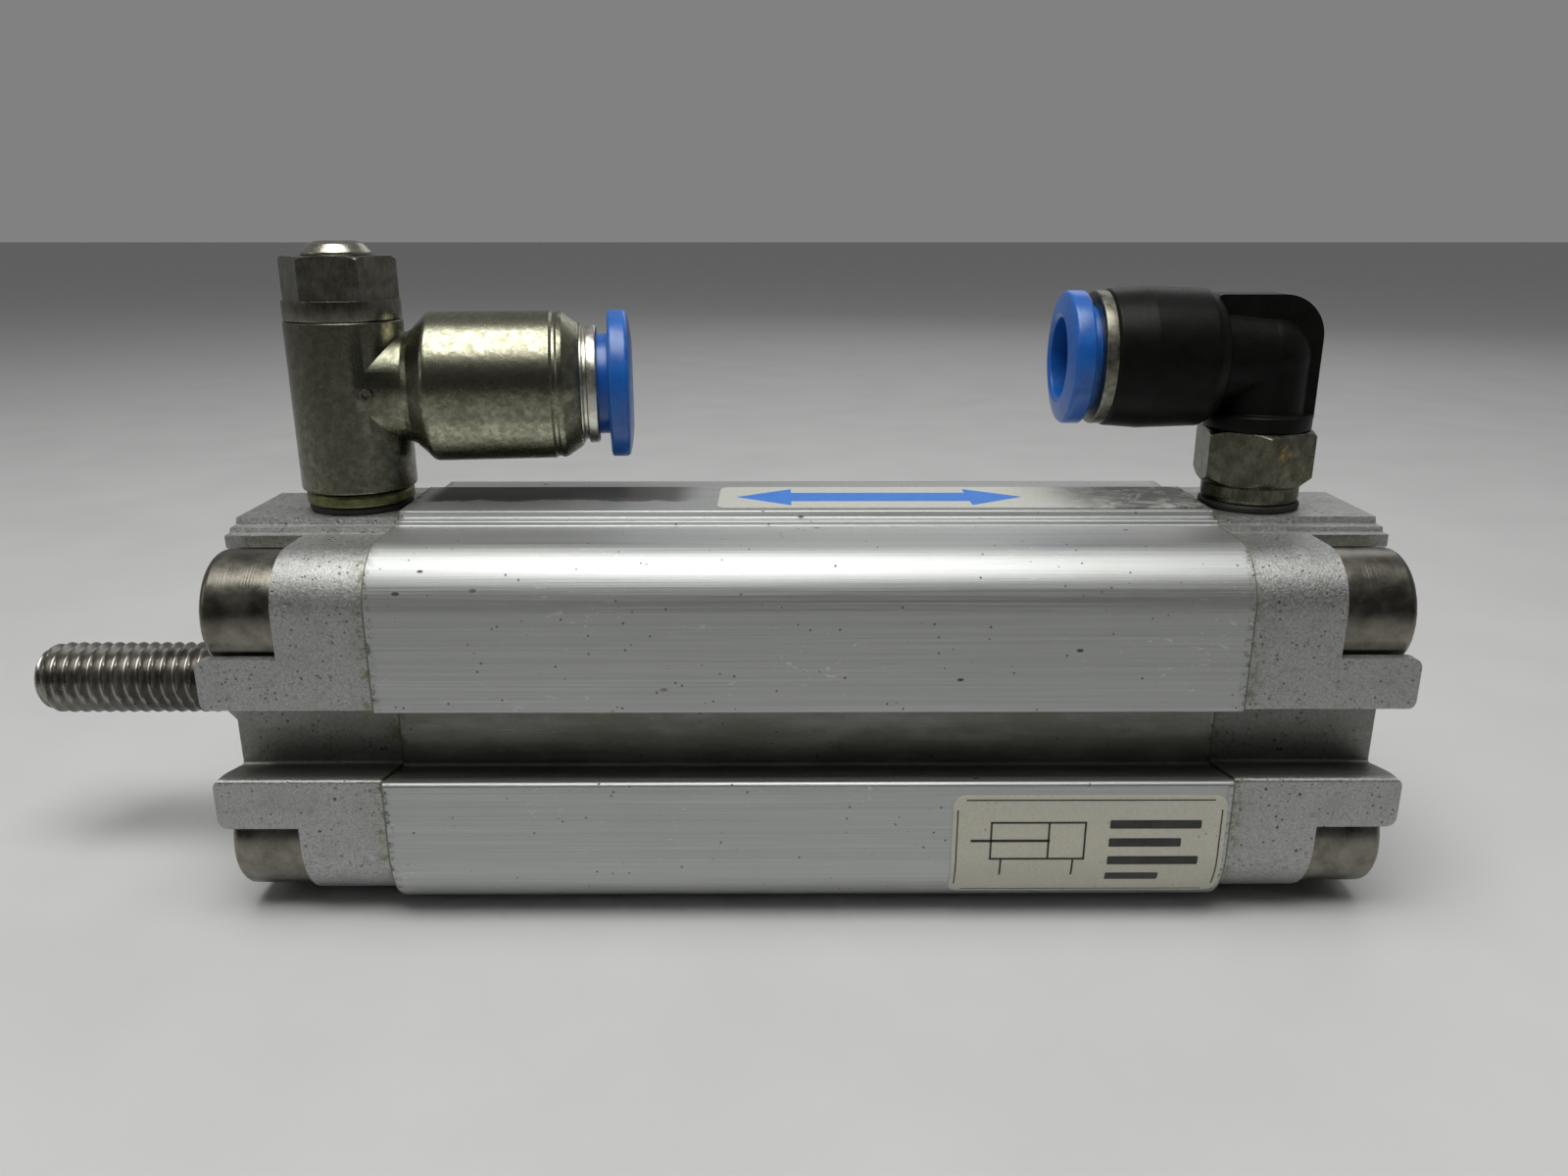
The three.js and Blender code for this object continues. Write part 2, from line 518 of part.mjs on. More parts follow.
// ---- assembly -----------------------------------------------------------------------
const part = new THREE.Group();
part.name = 'pneumatic_cylinder';

function add(name, geometry, material) {
  const mesh = new THREE.Mesh(geometry, material);
  mesh.name = name;
  part.add(mesh);
}

add('barrel', makeBarrel(), anodised);
add('front_cap', makeFrontCap(), cast);
add('rear_cap', makeRearCap(), cast);
for (const [end, side] of [['front', -1], ['rear', 1]]) {
  screwPlaces.forEach(([y, z], k) =>
    add(`${end}_collar_screw_${k + 1}`, makeCollarScrew(side, y, z), steel));
  add(`${end}_cap_seal`, makeCapSeal(side), rubber);
  add(`${end}_bumper`, makeBumper(side, side > 0 ? 2.6 : 4.0), bumperPlastic);
}
add('rod_bearing', makeSquareRing(BEARING_FROM, BEARING_TO, BEARING), bronze);
add('rod_wiper', makeSquareRing(-LENGTH / 2 + 0.2, BEARING_FROM, BEARING), rubber);
add('type_label', makeTypeLabel(), cream);
add('top_label', makeTopLabel(), cream);

add('piston_rod', makePistonRod(), steel);
add('piston_front_half', makePistonFront(), anodised);
add('piston_rear_half', makePistonRear(), anodised);
add('piston_front_seal', makePistonSeal(FRONT_FACE + 0.7), rubber);
add('piston_rear_seal', makePistonSeal(PISTON_BACK - 2.5), rubber);
add('magnet_ring', ringOf(MAGNET_FLOOR, LAND - 0.4, MAGNET_FROM, MAGNET_TO, AXIS_FACETS,
  X, 0, 0, MID), ferrite);
add('piston_screw', makePistonScrew(), steel);

add('valve_bolt', makeValveBolt(), nickel);
add('valve_port_seal', ringOf(PORT, 3.95, SEAT, SEAT + 0.6, 28, Z, -PORT_X, 0, 0), rubber);
add('valve_base_ring', turned([[PORT, SEAT + 0.6], [4.0, SEAT + 0.6], [4.1, SEAT + 0.75],
  [4.1, 30.7], [3.95, 30.9], [PORT, 30.9], [PORT, SEAT + 0.6]], 32, Z, -PORT_X, 0, 0), brass);
add('check_lip_seal', turned([[STEM, 35.0], [3.5, 35.0], [3.7, 36.2], [3.6, 36.4], [STEM, 36.0],
  [STEM, 35.0]], 32, Z, -PORT_X, 0, 0), rubber);
add('valve_body', makeValveBody(), zinc);
const valve = pushInParts({ mouth: -17.8, inward: -1, height: VALVE_AXIS, ringOuter: 4.66,
  stand: 1.3, gap: 0.85, flange: 5.8 });
Object.values(valve).forEach(swung);
add('valve_mouth_ring', valve.ring, nickel);
add('valve_grip_ring', valve.grip, steel);
add('valve_tube_seal', valve.seal, rubber);
add('valve_release_sleeve', valve.sleeve, blue);
add('throttle_needle', makeNeedle(), brass);
add('adjusting_screw', makeAdjustingScrew(), nickel);

add('elbow_stem', makeElbowStem(), nickel);
add('elbow_port_seal', ringOf(PORT, 3.85, SEAT, SEAT + 0.6, 28, Z, PORT_X, 0, 0), rubber);
add('elbow_body', makeElbowBody(), black);
const elbow = pushInParts({ mouth: 23.0, inward: 1, height: ELBOW_AXIS, ringOuter: 5.08,
  stand: 0.95, gap: 0.65, flange: 5.08 });
add('elbow_mouth_ring', elbow.ring, nickel);
add('elbow_grip_ring', elbow.grip, steel);
add('elbow_tube_seal', elbow.seal, rubber);
add('elbow_release_sleeve', elbow.sleeve, blue);

export default part;
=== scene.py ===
"""Compact pneumatic cylinder: the visual model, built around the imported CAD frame."""
import json
import math
import random

import bmesh
import bpy
from mathutils import Matrix, Vector
from mathutils.geometry import tessellate_polygon


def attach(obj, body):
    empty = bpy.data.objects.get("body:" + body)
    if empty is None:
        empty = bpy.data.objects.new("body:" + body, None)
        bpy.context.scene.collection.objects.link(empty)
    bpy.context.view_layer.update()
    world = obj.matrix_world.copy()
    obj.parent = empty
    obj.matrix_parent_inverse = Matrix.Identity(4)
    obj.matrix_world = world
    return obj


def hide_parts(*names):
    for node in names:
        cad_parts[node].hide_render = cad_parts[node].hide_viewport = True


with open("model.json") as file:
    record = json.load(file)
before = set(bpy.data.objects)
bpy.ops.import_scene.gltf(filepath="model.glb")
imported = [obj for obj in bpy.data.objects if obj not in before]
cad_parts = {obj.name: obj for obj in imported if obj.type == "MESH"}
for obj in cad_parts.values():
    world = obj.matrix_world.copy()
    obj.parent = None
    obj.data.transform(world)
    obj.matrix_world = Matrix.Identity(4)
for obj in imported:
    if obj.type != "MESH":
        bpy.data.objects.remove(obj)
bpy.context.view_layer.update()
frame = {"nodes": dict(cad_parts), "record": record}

random.seed(12)

MM = 0.001                # lengths are in millimetres, and this turns them into metres
MID = 14.5                # height of the cylinder axis
HALF = 14.5               # half section of the barrel
CAP_INSET = 0.5           # the caps are this much smaller all round
CORNER = 5.7
GROOVE = 2.7              # half height of the side groove at its mouth
GROOVE_FLOOR = 3.85       # half height at its floor
GROOVE_DEPTH = 5.2
BARREL_END = 31.4
END = 44.0                # end faces of the caps
AXIS = (0, 0, MID)
POCKET = 38.1             # floor of the screw pockets
ARM = 6.7                 # half width of the cross at a cap's end
ARM_ROUND = 0.75
SCREWS = [(y * 9.0, MID + z * 9.0) for y in (-1, 1) for z in (1, -1)]
HEAD_LENGTH = 5.5
TOP = 29.85               # barrel plateau
SEAT = 29.35              # cap plateau, where the fittings sit
SEAL_TOP = 29.95
THREAD_TIP, THREAD_ROOT, PITCH, MAJOR, MINOR = -63.9, -47.9, 1.0, 2.94, 2.42
ROD_HALF, ROD_OVER = 3.0, 3.75        # square rod: half width, and radius over its corners
ROD_END = 20.3
LABEL_TOP = 10.7          # upper edge of the type label
FILM, PRINT = 0.09, 0.012             # thickness of a label and of its print
PORT_X = 35.7             # the fittings stand this far from the middle
VALVE = (-PORT_X, 0, 0)
VALVE_Z = 38.7            # height of the valve's branch
VALVE_MOUTH = -17.8
SWING = 0.129             # the valve's branch is turned this far towards +Y, in radians
ELBOW = (PORT_X, 0, 0)
ELBOW_Z = 41.05
ELBOW_MOUTH = 23.0
HEX_FROM, HEX_TO = 31.2, 35.6         # the elbow's hexagon


# ---- shapes ---------------------------------------------------------------------------
def rounded(points, steps=5, closed=True):
    """Corners given as (u, v, radius) become arcs."""
    out, n = [], len(points)
    for i, p in enumerate(points):
        if len(p) < 3 or p[2] <= 0 or (not closed and i in (0, n - 1)):
            out.append((p[0], p[1]))
            continue
        here = Vector(p[:2])
        a = Vector(points[i - 1][:2]) - here
        b = Vector(points[(i + 1) % n][:2]) - here
        angle = a.angle(b)
        if angle > math.pi - 0.02:
            out.append((p[0], p[1]))
            continue
        t = min(p[2] / math.tan(angle / 2), a.length * 0.499, b.length * 0.499)
        radius = t * math.tan(angle / 2)
        centre = here + (a.normalized() + b.normalized()).normalized() * radius / math.sin(angle / 2)
        start = here + a.normalized() * t - centre
        end = here + b.normalized() * t - centre
        sweep = start.angle_signed(end)
        for k in range(steps + 1):
            turn = Matrix.Rotation(-sweep * k / steps, 2)
            q = centre + turn @ start
            out.append((q.x, q.y))
    return out


def make(name, bm):
    """Object from a bmesh, with its faces turned outwards."""
    bmesh.ops.remove_doubles(bm, verts=bm.verts, dist=1e-7)
    bmesh.ops.recalc_face_normals(bm, faces=bm.faces)
    mesh = bpy.data.meshes.new(name)
    bm.to_mesh(mesh)
    bm.free()
    obj = bpy.data.objects.new(name, mesh)
    bpy.context.scene.collection.objects.link(obj)
    return obj


def place(axis, origin, across, up, along):
    """A point of a turned or extruded shape in metres. Shapes along x use (y, z) across them."""
    x, y, z = origin
    if axis == "x":
        return Vector((x + along, y + across, z + up)) * MM
    if axis == "y":
        return Vector((x + across, y + along, z + up)) * MM
    return Vector((x + across, y + up, z + along)) * MM


def turned(name, profile, axis="x", origin=(0, 0, 0), steps=96):
    """Solid of revolution from a closed outline of (radius, distance along the axis)."""
    bm = bmesh.new()
    rings = []
    for r, d in profile:
        if r < 1e-6:
            rings.append([bm.verts.new(place(axis, origin, 0, 0, d))])
            continue
        rings.append([bm.verts.new(place(axis, origin, r * math.cos(2 * math.pi * i / steps),
                                         r * math.sin(2 * math.pi * i / steps), d))
                      for i in range(steps)])
    for k in range(len(rings)):
        a, b = rings[k], rings[(k + 1) % len(rings)]
        if len(a) == 1 and len(b) == 1:
            continue
        for i in range(steps):
            j = (i + 1) % steps
            if len(a) == 1:
                bm.faces.new((a[0], b[i], b[j]))
            elif len(b) == 1:
                bm.faces.new((a[i], b[0], a[j]))
            else:
                bm.faces.new((a[i], b[i], b[j], a[j]))
    return make(name, bm)


def extruded(name, loops, start, end, axis="x", origin=(0, 0, 0)):
    """Solid from an outline and its holes, in (across, up), extruded along an axis."""
    bm = bmesh.new()
    flat = [Vector((u, v, 0)) for loop in loops for u, v in loop]
    ends = [[bm.verts.new(place(axis, origin, p.x, p.y, d)) for p in flat] for d in (start, end)]
    triangles = tessellate_polygon([[Vector((u, v, 0)) for u, v in loop] for loop in loops])
    for side in ends:
        for t in triangles:
            if len({side[i] for i in t}) == 3 and not bm.faces.get([side[i] for i in t]):
                bm.faces.new([side[i] for i in t])
    first = 0
    for loop in loops:
        for i in range(len(loop)):
            a, b = first + i, first + (i + 1) % len(loop)
            bm.faces.new((ends[0][a], ends[0][b], ends[1][b], ends[1][a]))
        first += len(loop)
    bmesh.ops.dissolve_limit(bm, angle_limit=0.0005, verts=bm.verts, edges=bm.edges)
    return make(name, bm)


def box(name, low, high):
    """Box between two corners."""
    bm = bmesh.new()
    bmesh.ops.create_cube(bm, size=1.0)
    low, high = Vector(low) * MM, Vector(high) * MM
    for v in bm.verts:
        v.co = Vector((v.co[i] * (high[i] - low[i]) + (low[i] + high[i]) / 2 for i in range(3)))
    return make(name, bm)


def circle(radius, centre=(0, 0), steps=48, turn=0.0):
    return [(centre[0] + radius * math.cos(turn + 2 * math.pi * k / steps),
             centre[1] + radius * math.sin(turn + 2 * math.pi * k / steps)) for k in range(steps)]


def hexagon(half_flats, turn):
    return circle(half_flats / math.cos(math.pi / 6), steps=6, turn=turn)


def square(half, over, steps):
    """Outline of a square whose corners lie on a circle of radius over."""
    corner = math.atan2(math.sqrt(over ** 2 - half ** 2), half)
    out = []
    for q in range(4):
        start, end = q * math.pi / 2 + corner, (q + 1) * math.pi / 2 - corner
        for k in range(steps + 1):
            a = start + (end - start) * k / steps
            out.append((over * math.cos(a), over * math.sin(a)))
    return out


def applied(obj):
    """Turns the modifiers into mesh."""
    bpy.context.view_layer.update()
    mesh = bpy.data.meshes.new_from_object(obj.evaluated_get(bpy.context.evaluated_depsgraph_get()))
    obj.modifiers.clear()
    old, obj.data = obj.data, mesh
    bpy.data.meshes.remove(old)
    return obj


def combine(obj, how, *tools):
    """Boolean with closed tools, which are used up."""
    for tool in tools:
        m = obj.modifiers.new("boolean", "BOOLEAN")
        m.operation, m.object, m.solver = how, tool, "MANIFOLD"
        applied(obj)
        bpy.data.objects.remove(tool)
    return obj


def cut(obj, *tools):
    return combine(obj, "DIFFERENCE", *tools)


def join(obj, *tools):
    return combine(obj, "UNION", *tools)


def drill(obj, radius, start, end, axis="x", origin=(0, 0, 0), steps=48):
    """Cuts a round hole between two distances along the axis."""
    low, high = sorted((start, end))
    return cut(obj, turned("tool", [(0, low), (radius, low), (radius, high), (0, high)], axis, origin, steps))


def soften(obj, width, steps=3, sharp=30, weigh=None):
    """Rounds the edges sharper than an angle in degrees. weigh(middle, direction) scales the width."""
    bm = bmesh.new()
    bm.from_mesh(obj.data)
    bmesh.ops.dissolve_limit(bm, angle_limit=0.0005, verts=bm.verts, edges=bm.edges)
    layer = bm.edges.layers.float.get("bevel_weight_edge") or bm.edges.layers.float.new("bevel_weight_edge")
    for e in bm.edges:
        if len(e.link_faces) == 2 and e.calc_face_angle(0) > math.radians(sharp):
            a, b = e.verts[0].co / MM, e.verts[1].co / MM
            e[layer] = weigh((a + b) / 2, (b - a).normalized()) if weigh else 1.0
        else:
            e[layer] = 0.0
    bm.to_mesh(obj.data)
    bm.free()
    m = obj.modifiers.new("bevel", "BEVEL")
    m.limit_method, m.width, m.segments = "WEIGHT", width * MM, steps
    m.miter_outer = "MITER_ARC"
    return applied(obj)


def smooth(obj, angle=38):
    """Smooth shading. Edges sharper than an angle in degrees stay sharp."""
    obj.data.shade_smooth()
    obj.data.set_sharp_from_angle(angle=math.radians(angle))
    m = obj.modifiers.new("normals", "WEIGHTED_NORMAL")
    m.keep_sharp = True
    return obj


def piece(obj, body, slot, material, *nodes, angle=38):
    """Finishes a piece: shading, material, the body that it rides on and the nodes that it replaces."""
    smooth(obj, angle)
    obj.data.materials.clear()
    obj.data.materials.append(material)
    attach(obj, body)
    if nodes:
        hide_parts(*nodes)
    return obj


# ---- materials ------------------------------------------------------------------------
class Nodes:
    """Short calls for building one material's node tree. Coordinates are millimetres."""

    def __init__(self, name):
        self.material = bpy.data.materials.new(name)
        self.material.use_nodes = True
        self.tree = self.material.node_tree
        self.shader = self.tree.nodes["Principled BSDF"]
        where = self.tree.nodes.new("ShaderNodeTexCoord")
        scale = self.tree.nodes.new("ShaderNodeVectorMath")
        scale.operation = "SCALE"
        scale.inputs["Scale"].default_value = 1 / MM
        self.link(where.outputs["Object"], scale.inputs[0])
        self.mm = scale.outputs[0]

    def link(self, a, b):
        self.tree.links.new(a, b)

    def put(self, socket, value):
        if isinstance(value, bpy.types.NodeSocket):
            self.link(value, socket)
        else:
            socket.default_value = value

    def set(self, **values):
        for key, value in values.items():
            self.put(self.shader.inputs[key.replace("_", " ")], value)

    def moved(self, scale=(1, 1, 1), shift=(0, 0, 0)):
        node = self.tree.nodes.new("ShaderNodeMapping")
        self.link(self.mm, node.inputs["Vector"])
        node.inputs["Scale"].default_value = scale
        node.inputs["Location"].default_value = shift
        return node.outputs[0]

    def noise(self, scale, detail=4.0, rough=0.55, stretch=(1, 1, 1), shift=(0, 0, 0), distortion=0.0):
        node = self.tree.nodes.new("ShaderNodeTexNoise")
        self.link(self.moved(stretch, shift), node.inputs["Vector"])
        node.inputs["Scale"].default_value = scale
        node.inputs["Detail"].default_value = detail
        node.inputs["Roughness"].default_value = rough
        node.inputs["Distortion"].default_value = distortion
        return node.outputs["Fac"]

    def cells(self, scale, stretch=(1, 1, 1), shift=(0, 0, 0)):
        node = self.tree.nodes.new("ShaderNodeTexVoronoi")
        self.link(self.moved(stretch, shift), node.inputs["Vector"])
        node.inputs["Scale"].default_value = scale
        return node.outputs["Distance"]

    def remap(self, value, low, high, to_low=0.0, to_high=1.0):
        """Smooth step from one range of values to another."""
        node = self.tree.nodes.new("ShaderNodeMapRange")
        node.interpolation_type = "SMOOTHSTEP"
        self.put(node.inputs["Value"], value)
        for key, number in zip(("From Min", "From Max", "To Min", "To Max"), (low, high, to_low, to_high)):
            node.inputs[key].default_value = number
        return node.outputs[0]

    def math(self, how, a, b=0.0):
        node = self.tree.nodes.new("ShaderNodeMath")
        node.operation = how
        self.put(node.inputs[0], a)
        self.put(node.inputs[1], b)
        return node.outputs[0]

    def both(self, *masks):
        """Where all the masks are on."""
        out = masks[0]
        for m in masks[1:]:
            out = self.math("MULTIPLY", out, m)
        return out

    def axis(self, letter):
        node = self.tree.nodes.new("ShaderNodeSeparateXYZ")
        self.link(self.mm, node.inputs[0])
        return node.outputs[letter]

    def tint(self, colour, mask, strength, stain):
        """Lays a stain over a colour where the mask is on."""
        return self.mix(self.math("MULTIPLY", mask, strength), colour, stain)

    def mix(self, fac, a, b):
        node = self.tree.nodes.new("ShaderNodeMix")
        node.data_type = "RGBA"
        self.put(node.inputs["Factor"], fac)
        self.put(node.inputs[6], (*a, 1) if isinstance(a, tuple) else a)
        self.put(node.inputs[7], (*b, 1) if isinstance(b, tuple) else b)
        return node.outputs[2]

    def bump(self, height, strength, distance=0.05, under=None):
        """distance is in millimetres."""
        node = self.tree.nodes.new("ShaderNodeBump")
        node.inputs["Strength"].default_value = strength
        node.inputs["Distance"].default_value = distance * MM
        self.link(height, node.inputs["Height"])
        if under is not None:
            self.link(under, node.inputs["Normal"])
        return node.outputs["Normal"]

    def specks(self, scale, density, size=0.16, shift=(0, 0, 0), stretch=(1, 1, 1)):
        """Scattered small spots: 1 in a spot. density 0 to 1 thins them out."""
        spots = self.remap(self.cells(scale, stretch, shift), size * 0.6, size, 1.0, 0.0)
        where = self.remap(self.noise(scale * 0.35, 2, 0.5, shift=(7, 3, 1)), 1 - density, 1 - density + 0.04)
        return self.both(spots, where)


def groove_shade_and_grime(n):
    """Painted shade and grime on the floor of the side grooves, in patches."""
    inside = n.both(n.remap(n.math("ABSOLUTE", n.axis("Y")), HALF - 0.9, HALF - 1.8),
                    n.remap(n.math("ABSOLUTE", n.math("SUBTRACT", n.axis("Z"), MID)), 3.95, 3.6))
    return n.both(inside, n.remap(n.noise(0.5, 5, 0.7, (0.3, 1, 1)), 0.3, 0.6, 0.55, 0.85))


def anodised():
    """Drawn aluminium: fine lines along x, specks, scratches, a stain on top and grime at the joints."""
    n = Nodes("anodised_aluminium")
    lines = n.noise(9.0, 6, 0.7, (0.004, 1, 1))
    hair = n.noise(26.0, 3, 0.6, (0.002, 1, 1))
    bands = n.noise(1.1, 3, 0.5, (0.01, 1, 1))
    cloud = n.noise(0.12, 4, 0.6)
    colour = n.mix(n.remap(lines, 0.3, 0.7), (0.44, 0.45, 0.445), (0.62, 0.63, 0.625))
    colour = n.mix(n.remap(hair, 0.35, 0.6, 0.3, 0.0), colour, (0.30, 0.31, 0.30))
    colour = n.mix(n.remap(bands, 0.35, 0.65, 0.0, 0.35), colour, (0.42, 0.43, 0.425))
    colour = n.mix(n.remap(cloud, 0.5, 0.8, 0.0, 0.2), colour, (0.44, 0.44, 0.42))
    dust = n.specks(1.3, 0.47, 0.15)
    flecks = n.specks(0.55, 0.45, 0.10, (4, 9, 2), (0.5, 1, 1))
    scratches = n.both(n.remap(n.noise(2.2, 2, 0.5, (0.35, 2.2, 1.1), (8, 2, 4), 1.5), 0.655, 0.69),
                       n.remap(n.noise(0.11, 3, 0.6, shift=(3, 6, 9)), 0.5, 0.6))
    colour = n.tint(colour, dust, 0.7, (0.12, 0.11, 0.1))
    colour = n.tint(colour, flecks, 0.85, (0.06, 0.055, 0.05))
    colour = n.tint(colour, scratches, 0.5, (0.78, 0.78, 0.77))
    x, y, z = n.axis("X"), n.axis("Y"), n.axis("Z")
    ragged = n.math("ADD", y, n.math("MULTIPLY", n.noise(0.28, 5, 0.7), 3.0))
    stain = n.both(n.remap(z, 29.7, 29.8), n.remap(x, -31.0, -29.5), n.remap(x, -8.0, -11.0),
                   n.remap(ragged, 0.2, 1.0))
    colour = n.tint(colour, stain, 0.8, (0.10, 0.095, 0.085))
    along = n.math("ABSOLUTE", x)
    grime = n.both(n.remap(along, 30.6, 31.4), n.remap(n.noise(2.0, 5, 0.75), 0.47, 0.62))
    grime = n.math("MAXIMUM", grime, n.math("MULTIPLY", n.remap(along, 31.25, 31.34), 0.75))
    colour = n.tint(colour, grime, 0.85, (0.09, 0.09, 0.035))
    # Painted shade and grime darken the floor of the side grooves.
    colour = n.mix(groove_shade_and_grime(n), colour, (0.19, 0.19, 0.155))
    dirty = n.math("MAXIMUM", n.math("MAXIMUM", dust, flecks), n.math("MAXIMUM", stain, grime))
    rough = n.remap(lines, 0.25, 0.75, 0.44, 0.58)
    rough = n.math("ADD", rough, n.math("MULTIPLY", dirty, 0.25))
    n.set(Base_Color=colour, Metallic=1.0, Roughness=rough,
          Normal=n.bump(n.noise(40, 2, 0.5), 0.1, 0.01, n.bump(hair, 0.6, 0.008, n.bump(lines, 0.7, 0.016))))
    return n.material


def cast():
    """Cast aluminium: grain, pits, blotches and grime along the joint with the barrel."""
    n = Nodes("cast_aluminium")
    grain = n.noise(5.5, 5, 0.7)
    cloud = n.noise(0.35, 4, 0.6)
    colour = n.mix(n.remap(grain, 0.3, 0.7), (0.31, 0.315, 0.305), (0.55, 0.555, 0.545))
    colour = n.mix(n.remap(cloud, 0.45, 0.75, 0.0, 0.4), colour, (0.30, 0.30, 0.275))
    # Painted shade and grime darken the floor of the side grooves.
    colour = n.tint(colour, groove_shade_and_grime(n), 0.7, (0.15, 0.15, 0.12))
    pits = n.specks(2.0, 0.52, 0.24)
    big = n.specks(0.9, 0.46, 0.15, (3, 1, 8))
    blotch = n.remap(n.noise(1.9, 6, 0.75, shift=(1, 4, 2)), 0.5, 0.66, 0.0, 0.5)
    colour = n.mix(blotch, colour, (0.20, 0.20, 0.18))
    colour = n.tint(colour, pits, 0.7, (0.10, 0.098, 0.085))
    colour = n.tint(colour, big, 0.85, (0.07, 0.065, 0.06))
    x, z = n.math("ABSOLUTE", n.axis("X")), n.axis("Z")
    near = n.remap(x, 32.9, 31.5)
    grime = n.both(near, n.remap(n.noise(1.3, 5, 0.75, shift=(2, 0, 5)), 0.47, 0.62))
    edge = n.both(n.remap(x, 31.68, 31.5), n.remap(n.noise(2.5, 3), 0.2, 0.4, 0.5, 1.0))
    colour = n.tint(colour, grime, 0.7, (0.20, 0.20, 0.07))
    colour = n.tint(colour, edge, 0.9, (0.045, 0.045, 0.02))
    low = n.both(n.remap(z, 4.0, 0.5), n.remap(n.noise(0.8, 4, 0.7), 0.4, 0.7))
    colour = n.tint(colour, low, 0.35, (0.25, 0.24, 0.22))
    rough = n.math("ADD", n.remap(grain, 0.3, 0.7, 0.42, 0.56), n.math("MULTIPLY", grime, 0.2))
    height = n.math("SUBTRACT", n.math("MULTIPLY", grain, 0.8), n.math("MULTIPLY", pits, 0.5))
    n.set(Base_Color=colour, Metallic=0.92, Roughness=rough, Normal=n.bump(height, 0.6, 0.07))
    return n.material


def turned_steel(name, centre, base=(0.15, 0.14, 0.115), light=(0.27, 0.255, 0.215)):
    """Steel with rings round an axis along x through centre, and dull patches."""
    n = Nodes(name)
    at = n.tree.nodes.new("ShaderNodeSeparateXYZ")
    n.link(n.moved(shift=tuple(-c for c in centre)), at.inputs[0])
    radius = n.math("SQRT", n.math("ADD", n.math("POWER", at.outputs["Y"], 2.0),
                                   n.math("POWER", at.outputs["Z"], 2.0)))
    flat = n.tree.nodes.new("ShaderNodeCombineXYZ")
    n.link(radius, flat.inputs[0])
    n.link(at.outputs["X"], flat.inputs[1])
    rings = n.tree.nodes.new("ShaderNodeTexNoise")
    n.link(flat.outputs[0], rings.inputs["Vector"])
    rings.inputs["Scale"].default_value = 9.0
    rings.inputs["Detail"].default_value = 4.0
    cloud = n.noise(0.6, 5, 0.6)
    colour = n.mix(n.remap(cloud, 0.3, 0.75), base, light)
    spots = n.specks(1.8, 0.42, 0.15)
    colour = n.tint(colour, spots, 0.6, (0.09, 0.075, 0.06))
    rough = n.math("ADD", n.remap(cloud, 0.3, 0.75, 0.26, 0.36), n.math("MULTIPLY", spots, 0.3))
    n.set(Base_Color=colour, Metallic=1.0, Roughness=rough,
          Normal=n.bump(rings.outputs["Fac"], 0.45, 0.025))
    return n.material


def diecast():
    """Mottled nickel on a zinc casting, with painted shade darkening the upright."""
    n = Nodes("nickel_diecast")
    mottle = n.noise(1.7, 6, 0.68, distortion=0.3)
    cloud = n.noise(0.5, 4, 0.65)
    colour = n.mix(n.remap(mottle, 0.34, 0.66), (0.165, 0.163, 0.115), (0.335, 0.33, 0.25))
    colour = n.mix(n.remap(cloud, 0.4, 0.75, 0.0, 0.55), colour, (0.19, 0.185, 0.135))
    # Painted shade: the upright is tinted darker.
    upright = n.remap(n.axis("X"), -30.6, -31.6)
    colour = n.tint(colour, upright, 0.45, (0.09, 0.09, 0.07))
    pits = n.specks(3.0, 0.5, 0.2)
    colour = n.tint(colour, pits, 0.35, (0.07, 0.065, 0.045))
    rough = n.remap(mottle, 0.3, 0.7, 0.33, 0.23)
    n.set(Base_Color=colour, Metallic=1.0, Roughness=rough,
          Normal=n.bump(mottle, 0.3, 0.05, n.bump(n.noise(12, 3, 0.6), 0.2, 0.02)))
    return n.material


def nickel(name, dark, light, worn=0.0):
    """Plated metal with upright streaks. Worn places show the brass."""
    n = Nodes(name)
    streak = n.noise(7.0, 4, 0.6, (1, 1, 0.15))
    cloud = n.noise(0.9, 5, 0.7)
    colour = n.mix(n.remap(cloud, 0.35, 0.7), dark, light)
    if worn:
        rub = n.remap(n.noise(0.8, 5, 0.75, shift=(5, 2, 9)), 0.60, 0.66, 0.0, worn)
        colour = n.mix(rub, colour, (0.42, 0.27, 0.08))
    spots = n.specks(2.0, 0.4, 0.15)
    colour = n.tint(colour, spots, 0.55, (0.1, 0.085, 0.06))
    n.set(Base_Color=colour, Metallic=1.0, Roughness=n.remap(streak, 0.3, 0.7, 0.24, 0.34),
          Normal=n.bump(streak, 0.25, 0.02, n.bump(cloud, 0.2, 0.08)))
    return n.material


def plain_metal(name, dark, light, rough=0.35):
    n = Nodes(name)
    cloud = n.noise(1.4, 5, 0.7)
    n.set(Base_Color=n.mix(n.remap(cloud, 0.35, 0.68), dark, light), Metallic=1.0,
          Roughness=n.remap(cloud, 0.3, 0.7, rough, rough + 0.14), Normal=n.bump(n.noise(9, 3), 0.2, 0.02))
    return n.material


